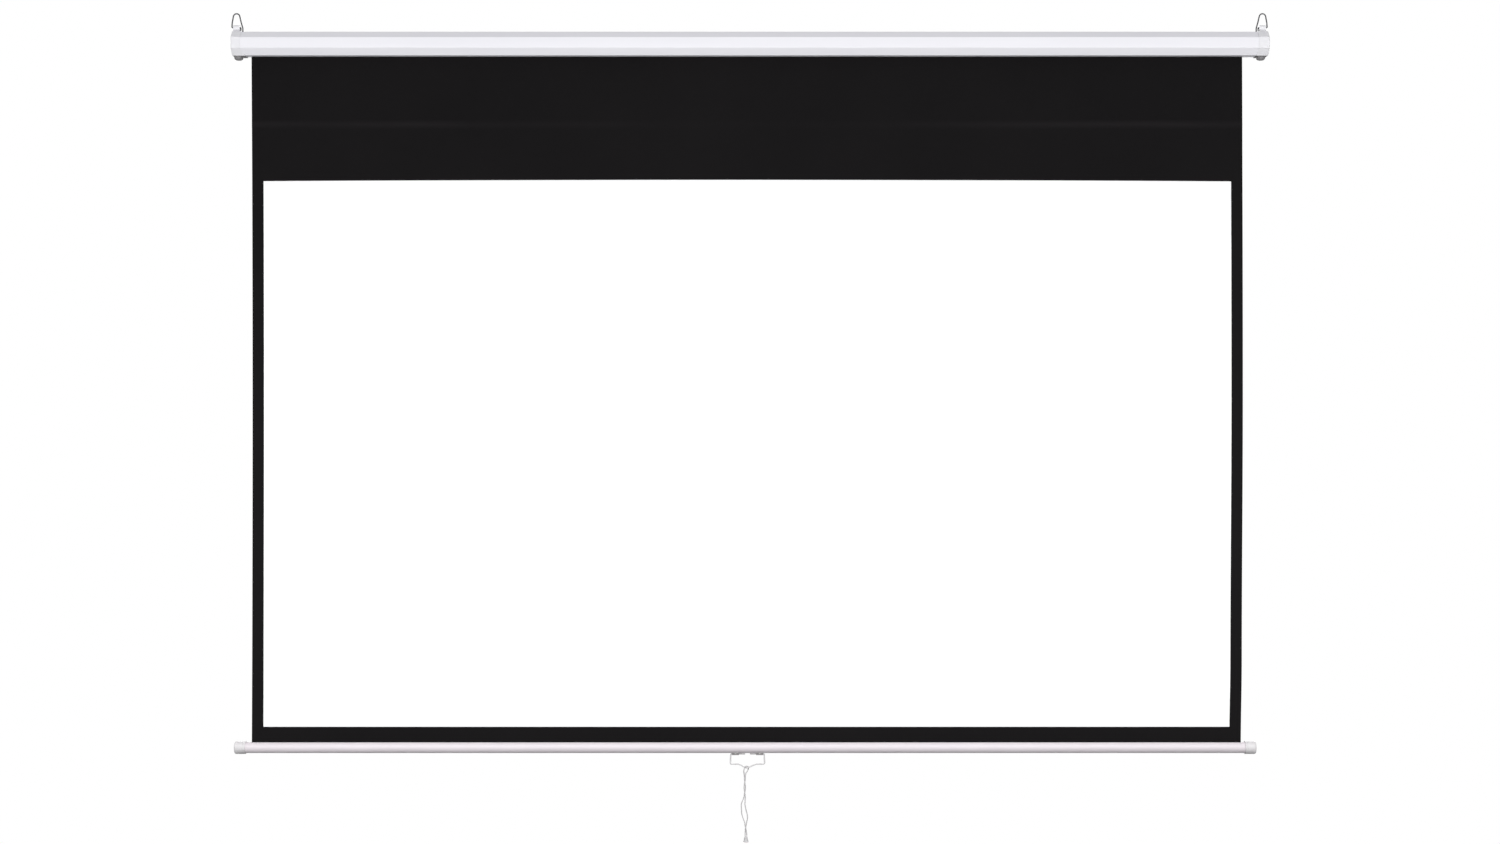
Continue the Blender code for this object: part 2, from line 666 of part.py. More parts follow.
def build_lock(roller, turning):
    """The right end: pawls on the turning head drop into the notches of the hub on the fixed spindle."""
    hub = hub_face()
    bore = SPINDLE_RADIUS + SEAT_GAP
    hub_solid = add_solid("ratchet_hub", prism(hub_outline(), hub, hub + HUB_THICKNESS), STEEL, roller)
    shape(hub_solid, prism(circle((0, 0), bore, 24), hub - MM, hub + HUB_THICKNESS + MM))

    head = hub - HEAD_PLAY / 2
    flange_back = head - HEAD_THICKNESS
    body = TUBE_RADIUS - TUBE_WALL - SEAT_GAP
    bush = SPINDLE_RADIUS + 2 * SEAT_GAP + BUSH_WALL
    profile = [(head, bush), (head, TUBE_RADIUS + MM / 2), (flange_back, TUBE_RADIUS + MM / 2),
               (flange_back, body), (flange_back - PLUG_LENGTH + MM, body),
               (flange_back - PLUG_LENGTH, body - MM), (flange_back - PLUG_LENGTH, bush)]
    lock_head = add_solid("lock_head", turned(profile, TUBE_SIDES), GREY_NYLON, turning)
    profile = [(head, bore), (head, bush - SEAT_GAP), (flange_back - PLUG_LENGTH, bush - SEAT_GAP),
               (flange_back - PLUG_LENGTH, bore)]
    add_solid("lock_bush", turned(profile, 24), ALUMINIUM, turning)

    for word, turn in (("upper", 0), ("lower", 180)):
        pin = polar(PAWL_PIN_CIRCLE, PAWL_PIN_ANGLE + turn)
        depth = HEAD_THICKNESS - MM
        shape(lock_head, screw_hole(pin, PAWL_PIN_RADIUS, head - depth - SEAT_GAP, head + MM))
        start = head + PAWL_PLAY / 2
        pawl_end = start + PAWL_THICKNESS
        cap = pawl_end + SEAT_GAP
        profile = [(head - depth, 0), (head - depth, PAWL_PIN_RADIUS), (cap, PAWL_PIN_RADIUS),
                   (cap, PAWL_PIN_RADIUS + MM), (cap + MM, PAWL_PIN_RADIUS + MM), (cap + MM, 0)]
        add_solid(f"pawl_pin_{word}", turned(profile, 12), STEEL, turning, (0, *pin))

        pivot = add_empty(f"pawl_{word}_pivot", (0, *pin))
        pivot.parent = turning
        outline = [Matrix.Rotation(math.radians(turn), 2) @ Vector(p) for p in pawl_outline()]
        arm = prism(outline, start, pawl_end)
        arm.transform(Matrix.Translation((0, -pin[0], -pin[1])))
        pawl = add_solid(f"pawl_{word}", arm, ZINC_PLATE, pivot)
        shape(pawl, screw_hole((0, 0), PAWL_PIN_RADIUS, start - MM, pawl_end + MM))


def spring_start():
    """X of the spring's right end: inside the flange of the mandrel that holds it."""
    return hub_face() - HEAD_THICKNESS - PLUG_LENGTH - SPRING_FLANGE - SPRING_SPACE


def build_spring(roller, turning):
    """The counterbalance: a spring round the fixed spindle, from its mandrel to a plug in the tube."""
    start = spring_start()
    curls = SPRING_CURLS * POINTS_PER_CURL
    coil = []
    for k in range(curls + 1):
        angle = 2 * math.pi * k / POINTS_PER_CURL
        coil.append((start - SPRING_PITCH * k / POINTS_PER_CURL, SPRING_RADIUS * math.cos(angle),
                     SPRING_RADIUS * math.sin(angle)))
    add_object("torsion_spring", rod_curve("torsion_spring", coil, SPRING_WIRE / 2, 1), SPRING_STEEL, roller)
    print(f"torsion_spring: least gap between curls {(SPRING_PITCH - SPRING_WIRE) / MM:.2f} mm")

    bore = SPINDLE_RADIUS + SEAT_GAP
    boss = SPRING_RADIUS * math.cos(math.pi / POINTS_PER_CURL) - SPRING_WIRE / 2 - SEAT_GAP
    wide = TUBE_RADIUS - TUBE_WALL - 4 * SEAT_GAP
    back = start + SPRING_WIRE / 2 + SEAT_GAP
    profile = [(back - SPRING_BOSS_LENGTH, bore), (back - SPRING_BOSS_LENGTH, boss - MM),
               (back - SPRING_BOSS_LENGTH + MM, boss), (back, boss), (back, wide),
               (back + SPRING_FLANGE, wide), (back + SPRING_FLANGE, bore)]
    add_solid("spring_mandrel", turned(profile, 24), GREY_NYLON, roller)

    end = start - SPRING_PITCH * SPRING_CURLS - SPRING_WIRE / 2 - SEAT_GAP
    wide = TUBE_RADIUS - TUBE_WALL - SEAT_GAP
    profile = [(end + SPRING_BOSS_LENGTH, bore), (end + SPRING_BOSS_LENGTH, boss - MM),
               (end + SPRING_BOSS_LENGTH - MM, boss), (end, boss), (end, wide),
               (end - 2 * SPRING_FLANGE, wide), (end - 2 * SPRING_FLANGE, bore)]
    add_solid("spring_drive_plug", turned(profile, TUBE_SIDES), GREY_NYLON, turning)

    inner = end - SPRING_FLANGE
    blade = hub_face() + HUB_THICKNESS + MM
    profile = [(inner, 0), (inner, SPINDLE_RADIUS - MM / 2), (inner + MM / 2, SPINDLE_RADIUS),
               (blade + 2 * MM, SPINDLE_RADIUS), (blade + 2 * MM, 0)]
    spindle = add_solid("lock_spindle", turned(profile, 24), STEEL, roller)
    flat = BLADE_THICKNESS / 2
    tall = BLADE_HEIGHT / 2
    tip = bracket_face(1) + BRACKET_PLATE + 2 * MM
    shape(spindle, box((blade, -flat, -tall), (tip, flat, tall)), "UNION")


def build_roller(roller, turning):
    for side, word in ((-1, "left"), (1, "right")):
        build_bracket(side, word, roller)
    build_idle_end(roller, turning)
    build_lock(roller, turning)
    build_spring(roller, turning)
    ends = (-tube_end(-1), tube_end(1))
    inside = TUBE_RADIUS - TUBE_WALL
    profile = [(ends[0], inside), (ends[0], TUBE_RADIUS), (ends[1], TUBE_RADIUS), (ends[1], inside)]
    add_solid("roller_tube", turned(profile, TUBE_SIDES), ALUMINIUM, turning)


def build_sheet(turning):
    """The turns that stay on the tube, and the sheet that hangs from them."""
    low = SHEET_OFFSET_X - SHEET_WIDTH / 2
    high = SHEET_OFFSET_X + SHEET_WIDTH / 2
    path = []
    for k in range(round(WRAP_TURNS * WRAP_STEPS) + 1):
        turn = k / WRAP_STEPS
        path.append(polar(WRAP_OUTER - WRAP_PITCH * turn, 360 * turn))
    add_solid("fabric_wrap", prism(strip(path, SHEET_THICKNESS), low, high), BLACK_SHEET, turning)
    half = SHEET_THICKNESS / 2
    bottom = BAR_Z + hem_height() + hem_radius() + SEAT_GAP
    hanging = box((low, SHEET_Y - half, bottom), (high, SHEET_Y + half, CASE_Z - SEAT_GAP))
    add_solid("screen_sheet", hanging, SATIN_WHITE, None)


def hem_radius():
    return HEM_ROD_RADIUS + SEAT_GAP + HEM_THICKNESS


def hem_height():
    """How high over the bar's axis the hem's bead hangs, against the inner edges of the bar's mouth."""
    inner = BAR_RADIUS - BAR_WALL
    edge = math.sqrt(inner ** 2 - (BAR_MOUTH / 2) ** 2)
    return edge - math.sqrt((hem_radius() + SEAT_GAP) ** 2 - (BAR_MOUTH / 2) ** 2)


def build_bar(bar):
    """The tube whose mouth holds the sheet's hem, its end caps, and the hem with its rod."""
    middle = BAR_RADIUS - BAR_WALL / 2
    mouth = math.degrees(math.asin(BAR_MOUTH / 2 / middle))
    reach = BAR_SPAN / 2 + BAR_CAP_LENGTH - BAR_CAP_PLATE - BAR_END_GAP
    section = strip(arc((0, 0), middle, 90 + mouth, 90 + 360 - mouth, BAR_SIDES), BAR_WALL)
    tube = add_solid("weight_bar", prism(section, -reach, reach), SATIN_WHITE, bar)

    low = SHEET_OFFSET_X - SHEET_WIDTH / 2 - BAR_OFFSET_X
    high = low + SHEET_WIDTH
    bore = HEM_ROD_RADIUS + SEAT_GAP
    profile = [(low, bore), (low, hem_radius()), (high, hem_radius()), (high, bore)]
    add_solid("hem_sleeve", turned(profile, 16), BLACK_SHEET, bar, (0, 0, hem_height()))
    profile = [(low, 0), (low, HEM_ROD_RADIUS), (high, HEM_ROD_RADIUS), (high, 0)]
    add_solid("hem_rod", turned(profile, 16), BAR_PLASTIC, bar, (0, 0, hem_height()))

    for side, word in ((-1, "left"), (1, "right")):
        body = on_side(bar_cap(), side)
        add_solid(f"bar_cap_{word}", body, BAR_PLASTIC, bar, (side * BAR_SPAN / 2, 0, 0))
    return tube


def bar_cap():
    """A cap over the bar's end: a collar, a groove beside it, a round end and a spigot in the tube."""
    floor = BAR_CAP_LENGTH - BAR_CAP_PLATE
    stop = floor - BAR_END_GAP + SEAT_GAP
    groove = BAR_CAP_COLLAR + BAR_CAP_GROOVE
    sunk = BAR_CAP_RADIUS - BAR_CAP_GROOVE
    skirt = BAR_RADIUS + SEAT_GAP
    spigot = BAR_RADIUS - BAR_WALL - SEAT_GAP
    bore = spigot - 2 * MM
    corner = arc((BAR_CAP_LENGTH - BAR_CAP_ROUNDING, BAR_CAP_RADIUS - BAR_CAP_ROUNDING), BAR_CAP_ROUNDING,
                 90, 0, 4)
    profile = [(0, skirt), (0, BAR_CAP_RADIUS), (BAR_CAP_COLLAR, BAR_CAP_RADIUS), (groove, sunk),
               (groove + BAR_CAP_GROOVE, sunk), (groove + 2 * BAR_CAP_GROOVE, BAR_CAP_RADIUS)] + corner
    profile.append((BAR_CAP_LENGTH, 0))
    inside = [(floor, 0), (floor, bore), (floor - BAR_CAP_SPIGOT, bore), (floor - BAR_CAP_SPIGOT, spigot),
              (stop, spigot), (stop, skirt)]
    return turned(inside + profile, 28)


def build_handle_clips(bar, tube):
    """Each clip is a strap bent round the handle's rod, with two feet against the bar's underside."""
    pivot = -BAR_RADIUS - SEAT_GAP - HANDLE_ROD / 2
    foot = BAR_RADIUS + SEAT_GAP + CLIP_WALL / 2
    barrel = HANDLE_ROD / 2 + SEAT_GAP + CLIP_WALL / 2
    path = arc((0, 0), foot, -90 - CLIP_FOOT_ANGLE, -90 - CLIP_MOUTH_ANGLE, 5)
    path += arc((0, pivot), barrel, 180, 360, 10)
    path += arc((0, 0), foot, -90 + CLIP_MOUTH_ANGLE, -90 + CLIP_FOOT_ANGLE, 5)
    outer = HANDLE_HALF_WIDTH - HANDLE_CORNER - SEAT_GAP
    shift = HANDLE_OFFSET_X - BAR_OFFSET_X
    for side, word in ((-1, "left"), (1, "right")):
        ends = sorted((side * outer, side * (outer - CLIP_LENGTH)))
        clip = add_solid(f"handle_clip_{word}", prism(strip(path, CLIP_WALL), *ends), STEEL, bar,
                         (shift, 0, 0))
        for angle, place in ((-CLIP_SCREW_ANGLE, "front"), (CLIP_SCREW_ANGLE, "back")):
            middle = side * (outer - CLIP_LENGTH / 2)
            tilt = Matrix.Rotation(math.radians(angle), 4, "X")
            for owner, x in ((clip, middle), (tube, middle + shift)):
                hole = screw_hole((0, 0), CLIP_SCREW_RADIUS, -foot - 2 * CLIP_WALL,
                                  -BAR_RADIUS + 3 * BAR_WALL, "Z")
                shape(owner, moved_after(hole, tilt, x))
            body = screw(CLIP_SCREW_LENGTH, CLIP_SCREW_RADIUS, 2 * CLIP_SCREW_RADIUS, CLIP_SCREW_RADIUS)
            body.transform(Matrix.Translation((foot + CLIP_WALL / 2 + SEAT_GAP, 0, 0)))
            body.transform(Matrix.Rotation(math.radians(90), 4, "Y"))
            add_solid(f"clip_screw_{word}_{place}", moved_after(body, tilt, middle), ZINC_PLATE, bar,
                      (shift, 0, 0))


def moved_after(bm, turn, x):
    bm.transform(turn)
    return moved(bm, x, 0, 0)


def build_handle(pivot):
    """One wire: both its ends lie in the clips, and its lowest run dips in the middle for the cord."""
    right = [(HANDLE_ROD_END, 0, 0), (HANDLE_HALF_WIDTH - HANDLE_FLARE / 2, 0, 0),
             (HANDLE_HALF_WIDTH + HANDLE_FLARE / 2, 0, -HANDLE_HEIGHT), (HANDLE_DIP_HALF, 0, -HANDLE_HEIGHT)]
    left = [(-x, y, z) for x, y, z in reversed(right)]
    corners = right + [(HANDLE_DIP_SHIFT, 0, -HANDLE_HEIGHT - HANDLE_DIP)] + left
    radii = [HANDLE_CORNER] * 2 + [HANDLE_DIP_BEND] * 3 + [HANDLE_CORNER] * 2
    curve = rod_curve("pull_handle", rounded(corners, radii, 5), HANDLE_ROD / 2)
    add_object("pull_handle", curve, SATIN_WHITE, pivot)


def dip_depth():
    """How far the middle of the handle's rod lies below its pivot at the dip."""
    slope = math.atan(HANDLE_DIP / HANDLE_DIP_HALF)
    return HANDLE_HEIGHT + HANDLE_DIP - HANDLE_DIP_BEND * (1 / math.cos(slope) - 1)


def smooth_curve(route, steps):
    """Points on a Catmull-Rom curve through the route's points, closer together where it bends, and
    the curve's length."""
    route = [Vector(p) * MM for p in route]
    ends = [2 * route[0] - route[1]] + route + [2 * route[-1] - route[-2]]
    fine = []
    for a, b, c, d in zip(ends, ends[1:], ends[2:], ends[3:]):
        for k in range(ROUTE_STEPS):
            t = k / ROUTE_STEPS
            fine.append((2 * b + (c - a) * t + (2 * a - 5 * b + 4 * c - d) * t ** 2
                         + (3 * b - a - 3 * c + d) * t ** 3) / 2)
    fine.append(route[-1])
    runs = [0.0]
    for a, b, c in zip(fine, fine[1:], fine[2:] + fine[-1:]):
        runs.append(runs[-1] + (b - a).length + BEND_SPACING * (b - a).angle(c - b, 0))
    points = []
    place = 0
    for k in range(steps + 1):
        wanted = runs[-1] * k / steps
        while place + 2 < len(runs) and runs[place + 1] < wanted:
            place += 1
        share = (wanted - runs[place]) / (runs[place + 1] - runs[place])
        points.append(fine[place].lerp(fine[place + 1], share))
    return points, sum((b - a).length for a, b in zip(fine, fine[1:]))


def least_gap(points, diameter, apart):
    """The least space between stretches of a cord that are some way apart along it."""
    gap = math.inf
    for i, a in enumerate(points):
        for b in points[i + apart:]:
            gap = min(gap, (a - b).length - diameter)
    return gap


def build_cord(hang):
    """One length of cord, from the bell up over the handle's dip and back down to the bell."""
    points, length = smooth_curve(CORD_ROUTE, CORD_STEPS)
    add_object("pull_cord", rod_curve("pull_cord", points, CORD_DIAMETER / 2), CORD_WHITE, hang)
    print(f"pull_cord: length {length / MM:.1f} mm")
    dense, _ = smooth_curve(CORD_ROUTE, DENSER * CORD_STEPS)
    gap = least_gap(dense, CORD_DIAMETER, 4 * DENSER)
    print(f"pull_cord: least gap to itself {gap / MM:.2f} mm")

    top = -BELL_DROP
    low = top - BELL_HEIGHT
    profile = [(top, 0), (top, BELL_CROWN_RADIUS), (top - BELL_SHOULDER / 3, BELL_SHOULDER_RADIUS),
               (top - BELL_SHOULDER, BELL_TOP_RADIUS), (top - BELL_HEIGHT / 2, BELL_WAIST_RADIUS),
               (low + BELL_RIM, BELL_BASE_RADIUS), (low, BELL_BASE_RADIUS),
               (low, BELL_BASE_RADIUS - BELL_RIM), (low + BELL_RECESS, BELL_TOP_RADIUS - MM),
               (low + BELL_RECESS, 0)]
    bell_x = (CORD_ROUTE[0][0] + CORD_ROUTE[-1][0]) / 2 * MM
    add_solid("cord_bell", moved(turned(profile, 20, "Z"), bell_x, 0, 0), WHITE_PLASTIC, hang)


def build_bail(side, word, pivot):
    """One bent wire: a pin through the ear, up the outer leg, over the top and down the inner leg."""
    ear = EAR_WIDTH / 2 + SEAT_GAP + BAIL_WIRE / 2
    top = HANG_DROP - EAR_HOLE_RISE + BAIL_WIRE / 2
    corners = [(-ear, -BAIL_TAIL_DROP), (-ear, 0), (BAIL_OUTER_LEG, 0),
               (BAIL_ARCH + BAIL_ARCH_SHIFT, top), (BAIL_ARCH_SHIFT - BAIL_ARCH, top),
               (-BAIL_WAIST, BAIL_WAIST_RISE), (-BAIL_INNER_LEG, -BAIL_WIRE / 2),
               (-BAIL_INNER_LEG, -BAIL_TAIL_DROP)]
    radii = [0.6 * BAIL_WIRE, 0.8 * BAIL_WIRE, BAIL_ARCH, BAIL_ARCH, 10 * BAIL_WIRE, BAIL_WIRE]
    points = [(side * x, 0, z) for x, z in (tuple(p) for p in rounded(corners, radii, 5))]
    add_object(f"hanger_bail_{word}", rod_curve(f"hanger_bail_{word}", points, BAIL_WIRE / 2), ZINC_WIRE,
               pivot)


def main():
    clear_scene()
    case = add_empty("case_frame", (0, 0, CASE_Z))
    build_case(case)
    for side, word in ((-1, "left"), (1, "right")):
        build_end_cap(side, f"end_cap_{word}", case)
        build_bail(side, word, add_empty(f"hanger_{word}_pivot", (side * EAR_X, 0, PIVOT_Z)))
    build_case_screws(case)

    roller = add_empty("roller_frame", (0, ROLLER_Y, CASE_Z))
    turning = add_empty("roller_axis", (0, ROLLER_Y, CASE_Z))
    build_roller(roller, turning)
    build_sheet(turning)

    bar = add_empty("bar_frame", (BAR_OFFSET_X, SHEET_Y, BAR_Z))
    tube = build_bar(bar)
    build_handle_clips(bar, tube)
    build_handle(add_empty("handle_pivot", (HANDLE_OFFSET_X, SHEET_Y, HANDLE_PIVOT_Z)))
    dip_x = HANDLE_OFFSET_X + HANDLE_DIP_SHIFT
    build_cord(add_empty("cord_hang", (dip_x, SHEET_Y, HANDLE_PIVOT_Z - dip_depth())))


main()
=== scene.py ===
import json
import math

import bmesh
import bpy
from mathutils import Matrix, Vector


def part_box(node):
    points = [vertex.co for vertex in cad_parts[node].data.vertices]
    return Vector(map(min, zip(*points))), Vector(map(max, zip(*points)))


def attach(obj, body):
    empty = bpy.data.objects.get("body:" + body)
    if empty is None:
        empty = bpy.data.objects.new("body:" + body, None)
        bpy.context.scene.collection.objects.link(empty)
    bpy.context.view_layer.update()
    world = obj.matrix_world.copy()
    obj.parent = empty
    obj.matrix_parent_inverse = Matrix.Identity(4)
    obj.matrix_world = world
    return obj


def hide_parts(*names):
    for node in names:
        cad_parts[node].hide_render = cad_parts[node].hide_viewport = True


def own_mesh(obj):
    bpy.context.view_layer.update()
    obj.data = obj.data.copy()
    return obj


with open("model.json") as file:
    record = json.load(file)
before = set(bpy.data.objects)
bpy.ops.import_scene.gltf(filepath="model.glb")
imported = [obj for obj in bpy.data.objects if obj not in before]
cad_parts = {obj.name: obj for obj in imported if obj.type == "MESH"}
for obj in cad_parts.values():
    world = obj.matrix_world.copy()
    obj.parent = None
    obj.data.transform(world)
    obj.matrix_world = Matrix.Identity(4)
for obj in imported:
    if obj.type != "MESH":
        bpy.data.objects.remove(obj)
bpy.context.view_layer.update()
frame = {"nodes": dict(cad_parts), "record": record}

MM = 0.001

# The photograph's frame, and the camera that it was taken with.
PHOTO_WIDTH = 1500
FOCAL_PIXELS = 2183.8
SENSOR_WIDTH = 36
VIEW_END = 100
CAMERA_PLACE = (1.1 * MM, -4991.1 * MM, -931.4 * MM)

# The sheet: its plane, its edges, the black round its white picture, and the crease across its top.
SHEET_Y = 8.9 * MM
SHEET_MIDDLE = -5.5 * MM
SHEET_WIDTH = 2267 * MM
SHEET_TOP = -69.3 * MM
PICTURE_TOP = -379.2 * MM
PICTURE_BOTTOM = -1629.2 * MM
SHEET_BOTTOM = -1665.2 * MM
SIDE_BORDER = 26.5 * MM
CREASE_Z = -250 * MM
CREASE_HALF = 11 * MM
CLOTH = 0.35 * MM
THREAD = 0.55 * MM

# How the sheet hangs. It comes free of the roller and of the bar over some height. In mm: its
# waves, its curled edges, its sideways bow, how its right edge draws in on its way down (how much,
# and between which shares of the drop), the arch of the picture's top edge, which rises above it
# and fades below it, and how far the crease stands out.
FREE_OF_ROLLER = (110 * MM, 420 * MM)
FREE_OF_BAR = (-1650 * MM, -1420 * MM)
WAVE, CROSS_WAVE = 0.6, 0.4
CURL, CURL_FROM = 1.6, 0.97
BOW, BOW_BACK = 1.5, 0.8
DRAWN = ((1.5, 0.5, 0.85), (2.2, 0.88, 1))
ARCH, ARCH_FALL, ARCH_LEAN = 2.2, 3.2, 0.4
ARCH_RISES = (200 * MM, 379 * MM)
ARCH_FADES = (-900 * MM, -379 * MM)
CREASE, CREASE_MIDDLE = 0.5, 0.3
EDGE_OUT = 0.5 * MM

# The spacing of the sheet's rows, of those at the crease and below the picture, and of its columns
# as shares of its half width.
ROWS = 24 * MM
CREASE_ROWS = 2.5 * MM
BORDER_ROWS = 9 * MM
COLUMNS = 0.021
EDGE_COLUMN = 0.004
BAND_STEPS = 40

# The roller and the turns of sheet on it.
ROLLER_Y = -6.925 * MM
ROLLER_Z = -69 * MM
WRAP_RADIUS = 15.825 * MM
WRAP_TURNS = 2.25
WRAP_PITCH = 0.6 * MM
WRAP_STEPS = 72

# The weight bar, and the hem in it: how high its rod lies over the bar's axis, where its loop
# starts and how far it turns, in degrees, and where the cloth comes in and goes out, in mm behind
# and over the sheet's end.
BAR_Z = -1676.7 * MM
BAR_RADIUS = 12.5 * MM
HEM_RISE = 7.36 * MM
HEM_MIDDLE_RADIUS = 3.5 * MM
HEM_START = 97
HEM_SWEEP = 346
HEM_STEPS = 40
HEM_WAY = ((-0.05, 0.1), (0.42, 0.4), (0.4, 6), (0.4, 12.5))

# The handle under the bar: its wire's ends turn in the clips, and its lower run dips in the middle.
HANDLE_PLACE = (-4.6 * MM, 8.9 * MM, -1691.1 * MM)
HANDLE_ROD = 3.2 * MM
HANDLE_END = 6 * MM
HANDLE_HALF = 38.7 * MM
HANDLE_FLARE = 0.6 * MM
HANDLE_HEIGHT = 23.4 * MM
HANDLE_CORNER = 2.8 * MM
DIP = 9.2 * MM
DIP_HALF = 20 * MM
DIP_SHIFT = -2.1 * MM
DIP_BEND = 6 * MM

# The pull cord, with its braid's lay and depth, and how far its ends go into the bell.
CORD_PLACE = (-6.7 * MM, 8.9 * MM, -1723.096 * MM)
CORD_DIAMETER = 2.5 * MM
CORD_STEP = 0.5 * MM
ROUTE_STEPS = 20
BRAID_LAY = 3.2 * MM
BRAID_DEPTH = 0.09 * MM
STRANDS = 6
LET_IN = 1.2 * MM

# The pull cord's way, in mm from the handle's dip: up from the bell, over the dip, and back down.
CORD_ROUTE = (
    (0.2, 0, -158.4), (0.1, 0, -151), (-1.2, -1.6, -142), (-3.3, -1.7, -133), (-5, -0.5, -123.5),
    (-7.8, 0.4, -116), (-10.7, 0.6, -107), (-11.6, 0.2, -97.5), (-12, -0.2, -85),
    (-10, -0.3, -76.5), (-6.4, 0, -68.5), (-4.7, 1.4, -59.5), (-3.2, 1.2, -51), (-2.8, -0.2, -43),
    (-3.8, -1.5, -35), (-4.7, -1.3, -27), (-5.0, -1.3, -20), (-5.7, -2.4, -13), (-6.4, -4.9, -7),
    (-5.6, -5.9, -2.4), (-3.7, -4.7, 2.0), (0, 0, 3.7), (3.4, 3.9, 1.9), (4.3, 5.0, -2.4),
    (2.2, 4.3, -7), (-1.5, 2.5, -13), (-2.9, 1.3, -20), (-3.3, 1.3, -27), (-4.6, 1.5, -35),
    (-5.6, 0.2, -43), (-5.2, -1.2, -51), (-3.7, -1.4, -59.5), (-3, 0, -68.5), (-3.4, 0.3, -76.5),
    (-3.6, 0.2, -85), (-0.9, -0.2, -97.5), (1.6, -0.6, -107), (1.9, -0.4, -116), (0.3, 0.5, -123.5),
    (-1.6, 1.7, -133), (-2.8, 1.6, -142), (-3.4, 0, -151), (-3.4, 0, -158.4))

# The bell: its crown as (mm down, mm of radius), the skirt that flares below it, and its rim and
# hollow as (mm up from the foot, mm of radius). The knot in the hollow is a trefoil.
BELL_X = -1.6 * MM
BELL_TOP = -159 * MM
BELL_HEIGHT = 11 * MM
BELL_CROWN = ((0, 0), (0, 3.0), (0.15, 3.35), (0.5, 3.95), (1.2, 4.25), (1.6, 4.22), (2.0, 4.3))
BELL_SIDES = 56
BELL_SKIRT = 7.2
BELL_FLARE = 1.55
SKIRT_STEPS = 9
BELL_RIM = ((1.5, 5.9), (1.1, 6), (0.3, 6), (0, 5.8), (0, 5.0), (0.3, 4.8), (3.2, 3.4), (3.5, 3.1),
            (3.5, 0))
KNOT_RISE = 1.9 * MM
KNOT_REACH = 0.95 * MM
KNOT_SWING = 0.5 * MM
KNOT_LIFT = 0.55 * MM
KNOT_STRAND = 0.6 * MM
KNOT_POINTS = 73

# The wire hangers: their pivots, their wire, and in mm its way, out and up from the pivot, and its
# bends.
PIVOT_Z = -30.5 * MM
EAR_X = 1171.7 * MM
BAIL_WIRE = 3 * MM
BAIL_ROUTE = ((-9.3, -8.8), (-9.3, 0), (11.3, 0), (10.4, 12), (6.7, 32), (-5.4, 32), (-10, 12),
              (-13.8, -1.5), (-13.8, -8.8))
BAIL_BENDS = (1.8, 2.4, 30, 7.2, 7.2, 30, 3)

# Painted shade on the underside of the end caps' feet: its top edge, how sharp that is, and its
# grey.
FOOT_SHADE_TOP = -96.6 * MM
FOOT_SHADE_EDGE = 0.2 * MM
FOOT_SHADE_TONE = (0.20, 0.195, 0.20)

# The winding spring.
SPRING_RADIUS = 9 * MM
SPRING_WIRE = 1.6 * MM
SPRING_CURLS = 24
CURL_STEPS = 30

# The screws: length, radius, head's radius and head's height in mm, how the clips' ones stand round
# the bar, and as shares of the head's size the radius and height of its side, the radii of its top,
# and its recess.
CASE_SCREW = (5.5, 1.3, 2.6, 1.5)
BRACKET_SCREW = (4.6, 1.3, 2.6, 1.5)
CLIP_SCREW = (4.2, 1.0, 2.0, 1.0)
CLIP_TILT = 27
CLIP_SEAT = 1.8 * MM
SCREW_SIDES = 48
THREAD_STEP = 0.14 * MM
THREAD_PITCH = 0.84 * MM
HEAD_SIDE = ((0.97, 0), (1, 0.08), (1, 0.5), (0.97, 0.66))
HEAD_TOP = (0.88, 0.76, 0.66, 0.58, 0.5, 0.42, 0.34, 0.26, 0.19, 0.12, 0.05)
RECESS_DEPTH = 0.6
RECESS_SIDE = (0.10, 0.17)
RECESS_END = (0.45, 0.62)

# How many rings round off a tube's end, how close corners are welded, and from how many degrees on
# the edges of the solids stay sharp.
END_STEPS = 3
WELD_PIECES = 1e-4 * MM
WELD_SOLIDS = 0.01 * MM
SHARP_SOLIDS = 30

# The wave texture's own period at scale 1, and how uneven the threads are.
WAVE_PERIOD = 0.314
UNEVEN = 0.4

# The grey that lights the object from all round, its share from below and where it fades to that,
# and the soft boxes: name, place, turn and spread in degrees, size and power.
FILL_COLOUR = (0.485, 0.485, 0.494)
FILL_BELOW = 0.06
FILL_FADE = (-0.45, 0.05)
LIGHTS = (
    ("key", (0, -3.2, -0.93), (90, 0, 0), 110, (8, 1.8), 61),
    ("low", (0, -3.0, -1.9), (119, 0, 0), 50, (7, 0.8), 11),
    ("high", (0, -1.8, -0.1), (49, 0, 0), 50, (7, 0.8), 11.3),
    ("back", (0, 5.4, 1.3), (-78, 0, 0), 180, (7, 2.4), 260),
)

# The round floor, far below the hanging screen, and how much it glows.
FLOOR_RADIUS = 4.9
FLOOR_SIDES = 128
FLOOR_Z = -2.95
FLOOR_GLOW = 0.2

